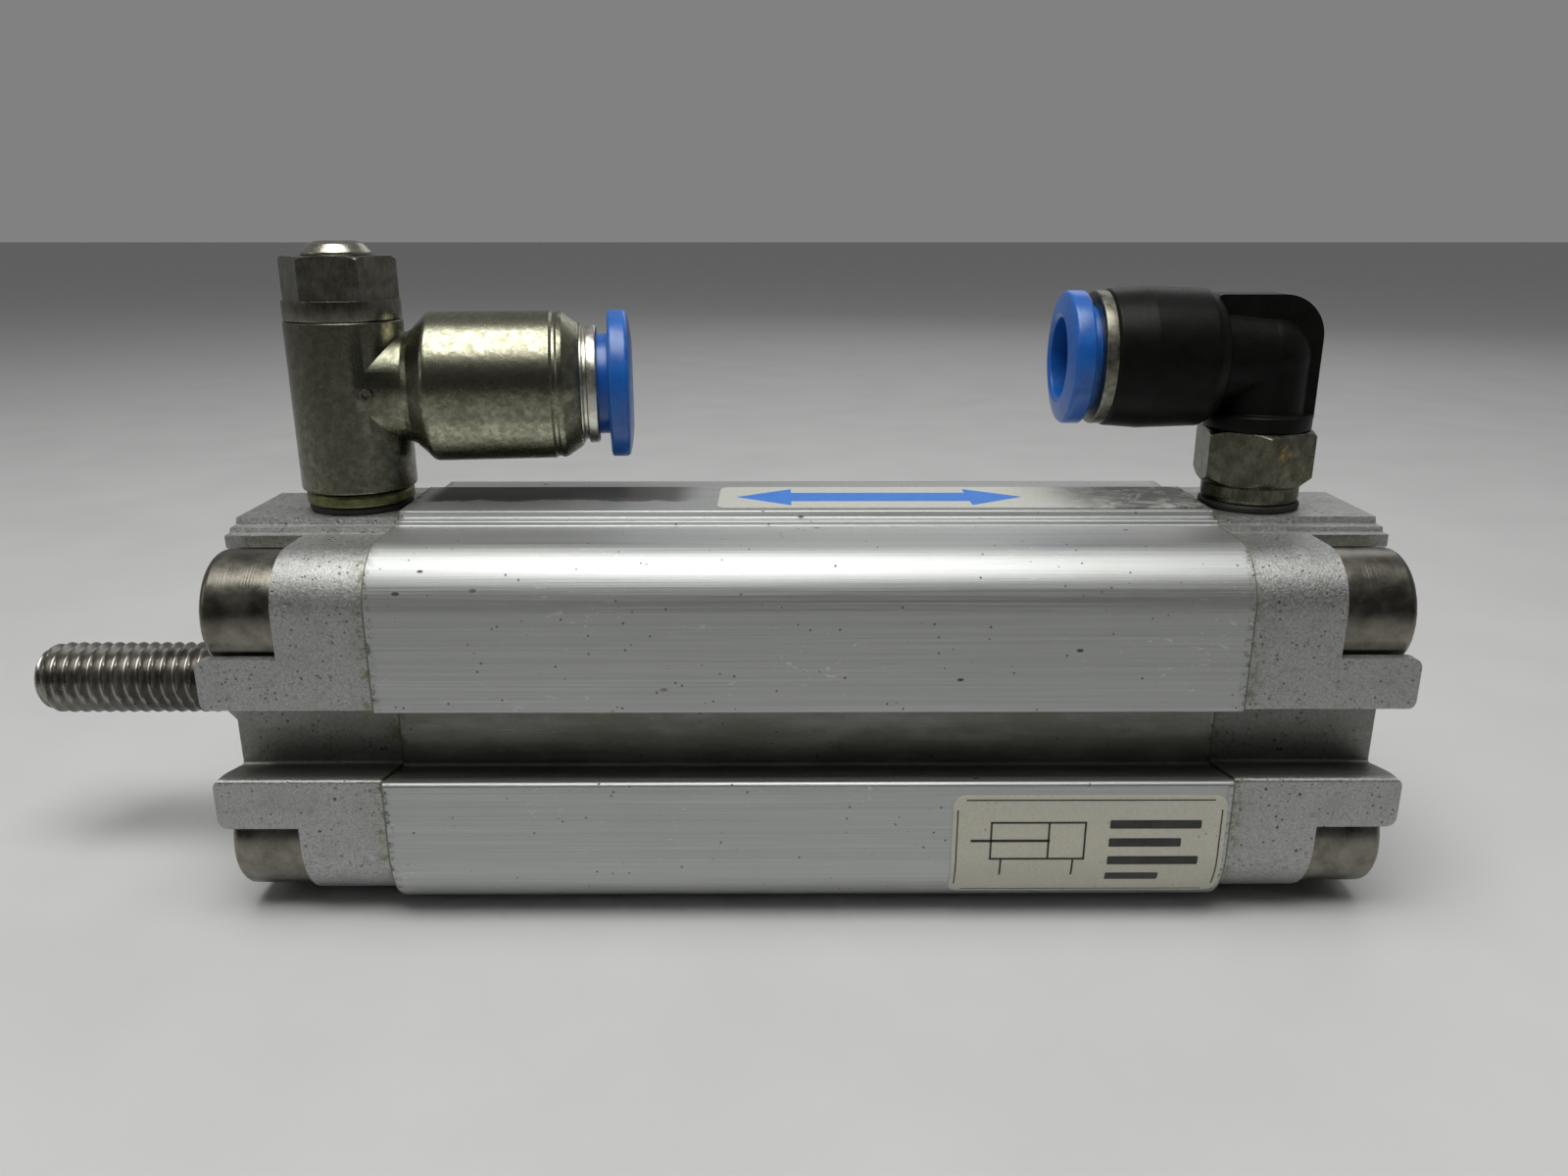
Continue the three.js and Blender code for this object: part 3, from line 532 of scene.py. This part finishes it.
def plastic(name, dark, light, rough, glow=0.0, dust=0.3, coat=0.0, shine=0.5):
    """Moulded plastic or ink, with scuffs and dust."""
    n = Nodes(name)
    cloud = n.noise(0.8, 5, 0.65)
    fine = n.noise(7, 4, 0.6)
    colour = n.mix(n.remap(cloud, 0.3, 0.7), dark, light)
    spots = n.specks(1.7, 0.42, 0.11)
    wear = n.both(n.remap(n.noise(1.6, 6, 0.8, (1, 0.4, 0.4)), 0.56, 0.74), n.remap(cloud, 0.4, 0.6))
    mark = tuple(min(1.0, 0.10 + 1.6 * c) for c in light)
    colour = n.tint(colour, wear, dust, mark)
    colour = n.tint(colour, spots, dust, (0.16, 0.15, 0.13))
    n.set(Base_Color=colour, Roughness=n.remap(fine, 0.3, 0.7, rough - 0.05, rough + 0.08),
          Subsurface_Weight=glow, Coat_Weight=coat, Coat_Roughness=0.25, Specular_IOR_Level=shine,
          Normal=n.bump(fine, 0.12, 0.02, n.bump(cloud, 0.12, 0.1)))
    if glow:
        n.set(Subsurface_Radius=(0.4, 0.6, 1.0), Subsurface_Scale=0.8 * MM)
    return n.material


def rubber():
    n = Nodes("rubber")
    fine = n.noise(5, 5, 0.7)
    colour = n.mix(n.remap(fine, 0.4, 0.75), (0.012, 0.012, 0.012), (0.035, 0.034, 0.032))
    n.set(Base_Color=colour, Roughness=n.remap(fine, 0.3, 0.7, 0.5, 0.7), Normal=n.bump(fine, 0.3, 0.03))
    return n.material


def film(name, base, smudge_from, smudge_to, strength):
    """Label film. The smudge lies towards one end."""
    n = Nodes(name)
    fine = n.noise(6, 4, 0.6)
    colour = n.mix(n.remap(fine, 0.3, 0.7), base, tuple(c * 0.9 for c in base))
    smear = n.both(n.remap(n.axis("X"), smudge_from, smudge_to),
                   n.remap(n.noise(0.45, 5, 0.7, distortion=0.6), 0.38, 0.56))
    colour = n.tint(colour, smear, strength, (0.07, 0.065, 0.055))
    spots = n.specks(1.5, 0.45, 0.13)
    colour = n.tint(colour, spots, 0.7, (0.1, 0.09, 0.08))
    n.set(Base_Color=colour, Roughness=n.remap(fine, 0.3, 0.7, 0.34, 0.46), Metallic=0.15,
          Normal=n.bump(n.noise(0.9, 3), 0.15, 0.05))
    return n.material


ANODISED = anodised()
CAST = cast()
DIECAST = diecast()
NICKEL = nickel("nickel_plate", (0.30, 0.285, 0.24), (0.48, 0.46, 0.40))
NICKEL_DARK = nickel("nickel_dark", (0.15, 0.145, 0.115), (0.26, 0.25, 0.205))
NICKEL_WORN = nickel("nickel_plate_worn", (0.10, 0.098, 0.07), (0.21, 0.205, 0.155), 0.9)
RING_METAL = plain_metal("ring_metal", (0.50, 0.48, 0.42), (0.68, 0.66, 0.60), 0.26)
RING_DARK = plain_metal("ring_metal_dark", (0.13, 0.13, 0.10), (0.26, 0.255, 0.21), 0.3)
BRASS = plain_metal("olive_brass", (0.17, 0.165, 0.07), (0.30, 0.295, 0.15), 0.34)
BRONZE = plain_metal("bronze", (0.35, 0.24, 0.10), (0.50, 0.36, 0.17), 0.4)
MAGNET = plain_metal("magnet", (0.05, 0.05, 0.05), (0.09, 0.085, 0.08), 0.5)
GREY_STEEL = plain_metal("spring_steel", (0.35, 0.34, 0.33), (0.5, 0.49, 0.48), 0.3)
BLACK = plastic("black_plastic", (0.0035, 0.0035, 0.0032), (0.007, 0.0068, 0.0062), 0.38, dust=0.04,
                shine=0.12)
BLUE = plastic("blue_plastic", (0.006, 0.10, 0.42), (0.012, 0.14, 0.52), 0.34, glow=0.15, dust=0.12, coat=0.25)
GREEN = plastic("bumper_elastomer", (0.02, 0.09, 0.05), (0.03, 0.12, 0.07), 0.6)
RUBBER = rubber()
TOP_FILM = film("top_label_film", (0.60, 0.60, 0.55), 18.0, 27.0, 0.92)
TYPE_FILM = film("type_label_film", (0.62, 0.60, 0.50), 24.0, 60.0, 0.5)
INK = plastic("label_ink", (0.012, 0.012, 0.012), (0.03, 0.03, 0.028), 0.4, dust=0.1)
BLUE_INK = plastic("label_blue_ink", (0.01, 0.16, 0.60), (0.015, 0.19, 0.66), 0.4, dust=0.1)


# ---- barrel and caps --------------------------------------------------------------------
def section(h, lip=0.35, edge=0.13):
    """Outline in (y, z): dovetail grooves front and rear, a two-step plateau on top."""
    floor, top = h - GROOVE_DEPTH, MID + h
    half = [(h, MID - h, CORNER), (h, MID - GROOVE, lip), (floor, MID - GROOVE_FLOOR, 0.25),
            (floor, MID + GROOVE_FLOOR, 0.25), (h, MID + GROOVE, lip * 0.7), (h, top, CORNER),
            (5.8, top, edge), (5.65, top + 0.35, edge), (4.6, top + 0.35, edge), (4.4, top + 0.85, edge)]
    points = half + [(-p[0], *p[1:]) for p in reversed(half)]
    out = []
    for i, p in enumerate(points):
        ring = [points[i - 1], p, points[(i + 1) % len(points)]]
        out.extend(rounded(ring, 16 if p[2] == CORNER else 4, closed=False)[1:-1])
    return out


def make_barrel():
    holes = [circle(6.0, (0, MID), 64)] + [circle(2.05, s, 24) for s in SCREWS]
    obj = extruded("extruded_barrel", [section(HALF)] + holes, -BARREL_END, BARREL_END)
    return piece(obj, "housing", "anodised", ANODISED, "barrel")


def weigh_cap(p, along):
    """Rounding of a cap's edge: most at the arm ends, little at the joint with the barrel."""
    x = abs(p.x)
    if x > END - 0.1:
        return 1.0 if abs(along.y) > 0.9 else 0.45
    if x < BARREL_END + 0.2:
        return 0.07
    return 0.25 if x > POCKET - 0.1 else 0.15


def round_arm_ends(obj, side):
    """Rounds the corners that the front and rear arms show at their ends."""
    x, r, over = side * END, ARM_ROUND, 0.5
    angles = [k * math.pi / 12 for k in range(7)]
    for z, inward, start in ((MID + ARM, -1, 6.9), (MID + GROOVE, 1, 9.2), (MID - GROOVE, -1, 9.2),
                             (MID - ARM, 1, 6.9)):
        outline = [(x + side * over, z - inward * over), (x - side * r, z - inward * over)]
        outline += [(x - side * r * (1 - math.sin(a)), z + inward * r * (1 - math.cos(a))) for a in angles]
        outline.append((x + side * over, z + inward * r))
        for y in (-1, 1):
            cut(obj, extruded("tool", [outline], *sorted((y * start, y * 16)), "y"))


def make_cap(name, side, node):
    """Cap with a cross-shaped end. side is -1 at the front and 1 at the rear."""
    ends = sorted((side * BARREL_END, side * END))
    obj = extruded(name, [section(HALF - CAP_INSET, lip=0.3, edge=0)], *ends)
    for y, z in SCREWS:
        xs = sorted((side * POCKET, side * (END + 2)))
        ys = sorted((math.copysign(ARM, y), math.copysign(20, y)))
        zs = (MID + ARM, 40) if z > MID else (-10, MID - ARM)
        cut(obj, box("tool", *zip(xs, ys, zs)))
        drill(obj, 4.7, *xs, "x", (0, y, z), 64)
        drill(obj, 2.1, side * (BARREL_END - 1), side * (POCKET + 1), "x", (0, y, z), 32)
    drill(obj, 2.5, MID + 2, 31, "z", (side * PORT_X, 0, 0))
    if side < 0:
        cut(obj, turned("tool", [(0, -45), (4.6, -45), (4.6, -33.6), (4.0, -33.6), (4.0, -30), (0, -30)],
                        "x", AXIS, 64))
    else:
        drill(obj, 2.0, 30, PORT_X, "x", AXIS)
    round_arm_ends(obj, side)
    soften(obj, ARM_ROUND, 4, 35, weigh_cap)
    return piece(obj, "housing", "cast", CAST, node)


make_barrel()
make_cap("front_end_cap", -1, "front_cap")
make_cap("rear_end_cap", 1, "rear_cap")


def make_collar_screw(end, side, k, y, z):
    """Turned collar head with a hexagon socket. side is -1 at the front and 1 at the rear."""
    a, b = POCKET, POCKET + HEAD_LENGTH
    outline = rounded([(0, a - 14), (1.6, a - 14), (2.0, a - 13.5), (2.0, a), (4.45, a, 0.2),
                       (4.45, b, 0.6), (3.1, b, 0.1), (2.85, b - 0.35, 0.1), (0, b - 0.35)])
    outline = [(r, side * d) for r, d in outline]
    obj = turned(f"{end}_collar_head_{k}", outline, "x", (0, y, z), 72)
    socket = hexagon(2.0, random.uniform(0, math.pi / 3))
    cut(obj, extruded("tool", [socket], *sorted((side * (b - 3.6), side * (b + 1))), "x", (0, y, z)))
    steel = turned_steel(f"collar_steel_{end}_{k}", (0, y, z))
    return piece(obj, "housing", "steel", steel, f"{end}_collar_screw_{k}", angle=30)


for end, side in (("front", -1), ("rear", 1)):
    for k, (y, z) in enumerate(SCREWS, 1):
        make_collar_screw(end, side, k, y, z)


# ---- rod --------------------------------------------------------------------------------
def thread_radius(x, angle):
    """M6 x 1 helix with a rounded tip, running out at the square bar."""
    phase = (x / PITCH - angle / (2 * math.pi)) % 1.0
    wave = min(1.0, max(0.0, abs(phase - 0.5) * 2.6 - 0.25))
    run_out = min(1.0, max(0.0, (THREAD_ROOT - 0.2 - x) / 0.9))
    t = min(1.0, (x - THREAD_TIP) / 1.9)
    tip = 1.25 + (MAJOR - 1.25) * math.sqrt(max(0.0, 1 - (1 - t) ** 2))
    return min(tip, MINOR + (MAJOR - MINOR) * wave * run_out)


def make_thread():
    steps, rows_per_mm = 96, 12
    bm = bmesh.new()
    rings = []
    for j in range(int((THREAD_ROOT - THREAD_TIP) * rows_per_mm) + 1):
        x = THREAD_TIP + j / rows_per_mm
        ring = []
        for i in range(steps):
            angle = 2 * math.pi * i / steps
            r = thread_radius(x, angle)
            ring.append(bm.verts.new(place("x", AXIS, r * math.cos(angle), r * math.sin(angle), x)))
        rings.append(ring)
    for a, b in zip(rings, rings[1:]):
        for i in range(steps):
            j = (i + 1) % steps
            bm.faces.new((a[i], b[i], b[j], a[j]))
    bm.faces.new(rings[0])
    bm.faces.new(reversed(rings[-1]))
    return make("thread", bm)


def make_rod():
    """Square bar with its front end rounded down to the thread."""
    start = THREAD_ROOT - 0.3
    rod = extruded("threaded_rod", [square(ROD_HALF, ROD_OVER, 6)], start, ROD_END, "x", AXIS)
    round_end = rounded([(0, start), (2.9, start), (3.9, THREAD_ROOT + 0.9), (3.9, 25), (0, 25)])
    combine(rod, "INTERSECT", turned("tool", round_end, "x", AXIS, 64))
    join(rod, make_thread())
    steel = turned_steel("rod_steel", AXIS, (0.23, 0.22, 0.20), (0.32, 0.305, 0.28))
    return piece(rod, "rod", "steel", steel, "piston_rod", angle=50)


make_rod()
wiper = extruded("rod_wiper_seal", [circle(4.58, steps=64), square(3.04, 3.8, 1)], -43.75, -42.0, "x", AXIS)
piece(soften(wiper, 0.18, 2), "housing", "rubber", RUBBER, "rod_wiper")


# ---- labels -----------------------------------------------------------------------------
def front_point(x, s, lift):
    """Point s mm below the type label's top edge, round the lower corner, lifted off the metal."""
    flat = LABEL_TOP - CORNER
    if s <= flat:
        return Vector((x, -HALF - lift, LABEL_TOP - s)) * MM
    a, r = (s - flat) / CORNER, CORNER + lift
    return Vector((x, CORNER - HALF - r * math.cos(a), CORNER - r * math.sin(a))) * MM


def top_point(x, s, lift):
    return Vector((x, s, TOP + lift)) * MM


def wrapped(name, outline, low, high, point):
    """A thin closed sheet: the outline in (x, s), between two lifts above the surface."""
    bm = bmesh.new()
    verts = [bm.verts.new((x, s, 0)) for x, s in outline]
    bm.faces.new(verts)
    bottom, top = min(s for _, s in outline), max(s for _, s in outline)
    cuts = max(1, int((top - bottom) / 0.35))
    for k in range(1, cuts):
        level = bottom + (top - bottom) * k / cuts
        geom = bm.verts[:] + bm.edges[:] + bm.faces[:]
        bmesh.ops.bisect_plane(bm, geom=geom, plane_co=(0, level, 0), plane_no=(0, 1, 0))
    base = bm.faces[:]
    lifted = bmesh.ops.extrude_face_region(bm, geom=base)
    upper = {v for v in lifted["geom"] if isinstance(v, bmesh.types.BMVert)}
    for v in bm.verts:
        v.co = point(v.co.x, v.co.y, high if v in upper else low)
    return make(name, bm)


def panel(x0, x1, s0, s1, r):
    """Rectangle with round corners."""
    return rounded([(x0, s0, r), (x1, s0, r), (x1, s1, r), (x0, s1, r)], 5)


def stroke(x0, s0, x1, s1, w=0.16):
    """Straight line of width w with square ends."""
    along = (Vector((x1, s1)) - Vector((x0, s0))).normalized() * w / 2
    side = Vector((-along.y, along.x))
    a, b = Vector((x0, s0)) - along, Vector((x1, s1)) + along
    return [tuple(a - side), tuple(b - side), tuple(b + side), tuple(a + side)]


def printed(name, shapes, point, material):
    """All the print of a label as one piece, lying on its film."""
    parts = [wrapped(f"{name}_{i}", shape, FILM, FILM + PRINT, point) for i, shape in enumerate(shapes)]
    bm = bmesh.new()
    for p in parts:
        bm.from_mesh(p.data)
        bpy.data.objects.remove(p)
    return piece(make(name, bm), "housing", "label", material)


piece(wrapped("type_label_film", panel(10.7, 31.0, 0.0, 8.9, 0.9), 0.0, FILM, front_point),
      "housing", "label", TYPE_FILM, "type_label")
piece(wrapped("top_label_film", panel(-7.0, 31.0, -3.8, 3.8, 0.8), 0.0, FILM, top_point),
      "housing", "label", TOP_FILM, "top_label")

# A generic cylinder symbol with plain rules beside it, inside a thin frame.
border = [stroke(11.7, s, 30.0, s, 0.1) for s in (0.35, 8.55)]
border += [stroke(x, 1.2, x, 7.7, 0.1) for x in (11.05, 30.65)]
symbol = [stroke(13.6, s, 20.6, s) for s in (2.2, 5.2)]
symbol += [stroke(x, 2.2, x, 5.2, 0.15) for x in (13.6, 20.6, 17.9)]
symbol += [stroke(12.2, 3.7, 17.9, 3.7, 0.22)]
symbol += [stroke(x, 5.2, x, 6.6, 0.15) for x in (14.4, 19.8)]
rules = [panel(22.4, x, s, s + 0.7, 0.1) for x, s in ((29.2, 2.0), (27.8, 3.5), (29.2, 5.0), (26.4, 6.5))]
printed("type_label_print", border + symbol + rules, front_point, INK)
arrow = [(-5.6, 0.0), (-1.2, -2.9), (-1.2, -1.5), (13.0, -1.5), (13.0, -2.9), (17.4, 0.0), (13.0, 2.9),
         (13.0, 1.5), (-1.2, 1.5), (-1.2, 2.9)]
printed("top_label_print", [arrow], top_point, BLUE_INK)


# ---- flow control valve ---------------------------------------------------------------------
def swung(obj):
    """Turns a piece drawn along x to the direction of the valve's branch."""
    pivot = Vector(VALVE) * MM
    turn = Matrix.Rotation(SWING, 4, "Z")
    obj.data.transform(Matrix.Translation(pivot) @ turn @ Matrix.Translation(-pivot))
    return obj


def make_valve_bolt():
    """Hollow bolt. The hexagon of its collar stands on a round ledge."""
    ledge = 45.5
    outline = rounded([(1.2, 25.2), (2.1, 25.2), (2.44, 25.6), (2.44, 31.0), (3.2, 31.0), (3.2, 44.0),
                       (4.35, 44.0, 0.1), (4.35, 48.7, 0.45), (3.3, 48.7, 0.1), (3.1, 48.6, 0.1),
                       (1.65, 48.6), (1.65, 38.2), (1.2, 37.6)], 4)
    obj = turned("hollow_bolt", outline, "z", VALVE)
    cut(obj, extruded("tool", [circle(8, steps=6), hexagon(3.75, 0.127)], ledge, 50, "z", VALVE))
    soften(obj, 0.26, 3, 25, lambda p, along: 1.0 if abs(p.z - ledge) < 0.1 else 0.35)
    return piece(obj, "housing", "nickel", NICKEL_DARK, "valve_bolt", angle=25)


def make_valve_body():
    """Upright and branch, with a ring line near the branch's mouth and a ring mark on its neck."""
    outline = rounded([(0, 31.0), (4.38, 31.0, 0.25), (4.4, 43.95, 0.12), (0, 43.95)])
    obj = turned("diecast_valve_body", outline, "z", VALVE)
    outline = rounded([(0, -PORT_X), (4.25, -PORT_X), (4.25, -31.2, 0.4), (4.45, -30.75, 0.3),
                       (5.8, -29.4, 0.7), (5.8, -20.05, 0.1), (5.66, -19.85, 0.05), (5.66, -19.65, 0.05),
                       (5.77, -19.45, 0.1), (5.7, -19.1, 0.3), (4.85, VALVE_MOUTH, 0.3), (0, VALVE_MOUTH)])
    branch = turned("tool", outline, "x", (0, 0, VALVE_Z))
    outline = rounded([(0.3, -4.4), (0.5, -4.4), (0.5, -4.3, 0.05), (0.3, -4.3, 0.05)])
    mark = turned("tool", outline, "y", (-PORT_X + 2.6, 0, VALVE_Z), 32)
    join(obj, swung(branch), mark)
    hole = turned("tool", [(0, 30), (3.25, 30), (3.25, 33.5), (3.8, 34), (3.8, 42.2), (3.25, 42.7),
                           (3.25, 45), (0, 45)], "z", VALVE, 64)
    socket = turned("tool", [(0, -PORT_X), (1.9, -PORT_X), (1.9, -28.4), (3.1, -28.2), (3.1, -22.6),
                             (4.3, -22.6), (4.3, -17), (0, -17)], "x", (0, 0, VALVE_Z), 64)
    cut(obj, hole, swung(socket))
    return piece(obj, "valve_swivel", "zinc", DIECAST, "valve_body", angle=32)


def make_base_ring():
    outline = rounded([(2.5, SEAL_TOP), (4.0, SEAL_TOP, 0.1), (4.1, 30.1, 0.1), (4.1, 30.65, 0.2),
                       (3.95, 30.88, 0.1), (2.5, 30.88)])
    return piece(turned("base_ring", outline, "z", VALVE), "housing", "brass", BRASS, "valve_base_ring")


def make_port_seal(prefix, origin, outer, r):
    outline = rounded([(2.5, SEAT), (outer, SEAT, r), (outer, SEAL_TOP, r), (2.5, SEAL_TOP)])
    obj = turned(f"{prefix}_seal_ring", outline, "z", origin)
    return piece(obj, "housing", "rubber", RUBBER, f"{prefix}_port_seal")


def make_adjusting_screw():
    """Dome head with a slot."""
    outline = rounded([(0, 41.5), (1.6, 41.5), (1.6, 48.7), (2.6, 48.7, 0.1), (2.6, 48.95, 0.25),
                       (2.0, 49.6, 0.5), (1.4, 49.78, 0.5), (0, 49.78)], 5)
    obj = turned("adjusting_screw_head", outline, "z", VALVE)
    cut(obj, box("tool", (-PORT_X - 1.2, -0.3, 49.1), (-PORT_X + 1.2, 0.3, 51)))
    soften(obj, 0.05, 2, 35)
    return piece(obj, "adjuster", "nickel", NICKEL, "adjusting_screw", angle=30)


make_valve_bolt()
make_valve_body()
make_base_ring()
make_port_seal("valve", VALVE, 3.95, 0.25)
make_adjusting_screw()


# ---- push-in sockets ------------------------------------------------------------------------
def push_in(prefix, mouth, inward, height, ring_outer, stand, gap, flange, metal, move, lined=False):
    """Mouth ring, with a line cut round it if lined, and release sleeve.

    Distances are counted into the socket from its mouth. move turns a piece to the socket's direction.
    """
    def shape(points, steps=5):
        return [(r, mouth + inward * d) for r, d in rounded(points, steps)]
    ring = [(4.0, -stand), (ring_outer, -stand, 0.18), (ring_outer, 0.0, 0.05)]
    if lined:
        waist = ring_outer - 0.28
        ring = [(4.0, -stand), (ring_outer, -stand, 0.2), (ring_outer, -0.5, 0.08), (waist, -0.42, 0.05),
                (waist, -0.2, 0.05), (ring_outer, -0.1, 0.05), (ring_outer, 0.0)]
    ring = shape(ring + [(4.28, 0.0), (4.28, 3.2), (4.0, 3.2)])
    obj = move(turned(f"{prefix}_nickel_ring", ring, "x", (0, 0, height)))
    piece(obj, f"{prefix}_swivel", "nickel", metal, f"{prefix}_mouth_ring")
    near = -stand - gap
    rim = near - 1.6
    sleeve = shape([(3.05, rim - 0.1, 0.15), (3.4, rim - 0.3, 0.3), (flange - 0.9, rim - 0.12, 1.5),
                    (flange, rim + 0.1, 0.35), (flange, near - 0.1, 0.25), (flange - 0.35, near, 0.2),
                    (3.95, near, 0.15), (3.95, 1.6, 0.2), (3.5, 2.2, 0.1), (3.05, 2.2, 0.1)], 6)
    obj = move(turned(f"{prefix}_blue_sleeve", sleeve, "x", (0, 0, height)))
    piece(obj, f"{prefix}_sleeve", "blue_plastic", BLUE, f"{prefix}_release_sleeve")


push_in("valve", VALVE_MOUTH, -1, VALVE_Z, 4.66, 1.3, 0.85, 5.8, RING_METAL, swung, lined=True)
push_in("elbow", ELBOW_MOUTH, 1, ELBOW_Z, 5.08, 0.95, 0.65, 5.08, RING_DARK, lambda obj: obj)


# ---- elbow --------------------------------------------------------------------------------------
def make_elbow_stem():
    """Hexagon, chamfered at both ends, on a round stem."""
    obj = extruded("hexagon_stem", [hexagon(4.0, 0.415)], HEX_FROM - 0.2, HEX_TO + 0.2, "z", ELBOW)
    trim = rounded([(0, HEX_FROM), (3.75, HEX_FROM), (4.7, 32.1), (4.7, 35.25), (4.1, HEX_TO), (0, HEX_TO)])
    combine(obj, "INTERSECT", turned("tool", trim, "z", ELBOW))
    stem = rounded([(0, 25.2), (2.1, 25.2), (2.44, 25.6), (2.44, SEAL_TOP), (3.6, SEAL_TOP, 0.15),
                    (3.7, 30.3, 0.1), (3.7, 31.5), (2.5, 31.7), (2.5, 39.4), (0, 39.4)])
    join(obj, turned("tool", stem, "z", ELBOW))
    drill(obj, 1.3, 24, 41, "z", ELBOW)
    soften(obj, 0.09, 2, 25)
    return piece(obj, "housing", "nickel", NICKEL_WORN, "elbow_stem", angle=25)


def make_elbow_body():
    """Barrel along x and upright, joined by a round bend, with a flat web over the outside of it."""
    height = (0, 0, ELBOW_Z)
    # The inner ends lie just past the middle of the bend, so that no faces coincide.
    end_x, end_z = PORT_X + 0.017, ELBOW_Z + 0.013
    outline = rounded([(0, ELBOW_MOUTH), (5.05, ELBOW_MOUTH, 0.1), (5.22, 23.2, 0.2), (5.42, 25.9, 0.8),
                       (5.27, 30.5, 0.8), (4.7, 31.5, 0.7), (3.8, 31.53, 0.1), (3.4, end_x), (0, end_x)], 6)
    obj = turned("moulded_elbow", outline, "x", height)
    outline = rounded([(0, 35.65), (4.05, 35.65, 0.12), (4.05, 36.85, 0.2), (3.4, 36.95, 0.1),
                       (3.4, end_z), (0, end_z)])
    upright = turned("tool", outline, "z", ELBOW)
    bend = bmesh.new()
    bmesh.ops.create_uvsphere(bend, u_segments=96, v_segments=48, radius=3.43 * MM,
                              matrix=Matrix.Translation(Vector((PORT_X, 0, ELBOW_Z)) * MM))
    left, right, inner = 31.2, PORT_X + 3.75, PORT_X + 0.9
    low, middle, top = 36.5, ELBOW_Z + 0.7, ELBOW_Z + 4.85
    web = rounded([(left, middle), (left, top, 0.3), (right, top, 3.3), (right, low), (inner, low),
                   (inner, middle)], 14)
    join(obj, upright, make("tool", bend), extruded("tool", [web], -1.6, 1.6, "y"))
    drill(obj, 2.55, 30, 39.6, "z", ELBOW, 64)
    drill(obj, 1.75, 38, ELBOW_Z + 0.35, "z", ELBOW)
    cut(obj, turned("tool", [(0, 22), (4.3, 22), (4.3, 27.8), (3.1, 27.8), (3.1, 33.3), (2.0, 33.5),
                             (2.0, PORT_X + 1), (0, PORT_X + 1)], "x", height, 64))
    return piece(obj, "elbow_swivel", "black_plastic", BLACK, "elbow_body", angle=32)


make_elbow_stem()
make_elbow_body()
make_port_seal("elbow", ELBOW, 3.85, 0.28)


# ---- inner pieces keep their CAD shape ------------------------------------------------------------
INNER = {"rubber": RUBBER, "anodised": ANODISED, "steel": GREY_STEEL, "magnet": MAGNET, "bearing": BRONZE,
         "bumper": GREEN, "brass": BRASS}
slots = {p["node"]: p["material_slot"] for p in frame["record"]["subparts"]}
for name, obj in frame["nodes"].items():
    if not obj.hide_render and slots[name] in INNER:
        obj.data.materials.clear()
        obj.data.materials.append(INNER[slots[name]])


# ---- floor, light and camera ------------------------------------------------------------------------
def make_stage():
    """Floor, with a painted shadow darkening it in front of the camera where the metal reflects it."""
    n = Nodes("floor")
    fine = n.noise(0.05, 5, 0.6)
    pale = n.mix(n.remap(fine, 0.3, 0.7), (0.60, 0.605, 0.605), (0.615, 0.62, 0.62))
    # Painted shadow: the floor darkens towards the camera.
    n.set(Base_Color=n.mix(n.remap(n.axis("Y"), -42.0, -95.0, 0.0, 0.7), pale, (0.30, 0.30, 0.30)),
          Roughness=n.remap(fine, 0.3, 0.7, 0.45, 0.6))
    bm = bmesh.new()
    bmesh.ops.create_grid(bm, x_segments=1, y_segments=1, size=4.0)
    for v in bm.verts:
        v.co.z = -0.02 * MM
    floor = make("floor", bm)
    floor.data.materials.append(n.material)


def area_light(name, place_mm, target_mm, size_mm, watts, colour=(1, 1, 1)):
    lamp = bpy.data.lights.new(name, "AREA")
    lamp.shape, lamp.size, lamp.size_y = "RECTANGLE", size_mm[0] * MM, size_mm[1] * MM
    lamp.energy, lamp.color = watts, colour
    obj = bpy.data.objects.new(name, lamp)
    bpy.context.scene.collection.objects.link(obj)
    obj.location = Vector(place_mm) * MM
    aim = (Vector(target_mm) - Vector(place_mm)) * MM
    obj.rotation_euler = aim.to_track_quat("-Z", "Y").to_euler()


def make_camera():
    data = bpy.data.cameras.new("camera")
    data.sensor_width, data.lens = 36.0, 27.0
    data.clip_start, data.clip_end = 0.005, 20.0
    obj = bpy.data.objects.new("camera", data)
    bpy.context.scene.collection.objects.link(obj)
    obj.location = Vector((-2.17, -92.8, 50.8)) * MM
    obj.rotation_euler = (math.pi / 2 - 0.2983, 0, -0.0044)
    bpy.context.scene.camera = obj


def make_world():
    """Dim grey surroundings, brighter behind the cylinder."""
    world = bpy.data.worlds.new("studio")
    world.use_nodes = True
    tree = world.node_tree
    where = tree.nodes.new("ShaderNodeTexCoord")
    split = tree.nodes.new("ShaderNodeSeparateXYZ")
    fade = tree.nodes.new("ShaderNodeMapRange")
    fade.interpolation_type = "SMOOTHSTEP"
    for key, number in zip(("From Min", "From Max", "To Min", "To Max"), (-0.9, 0.55, 0.035, 0.22)):
        fade.inputs[key].default_value = number
    tree.links.new(where.outputs["Generated"], split.inputs[0])
    tree.links.new(split.outputs["Y"], fade.inputs["Value"])
    tree.links.new(fade.outputs[0], tree.nodes["Background"].inputs["Color"])
    bpy.context.scene.world = world
    bpy.context.scene.view_settings.view_transform = "Standard"


make_stage()
area_light("key", (-30, -84, 400), (0, 0, 15), (300, 260), 1.5, (1.0, 1.0, 0.975))
area_light("side", (-420, -160, 240), (0, 0, 20), (240, 240), 0.10)
area_light("back", (150, 420, 300), (0, 0, 20), (400, 200), 0.22)
make_world()
make_camera()
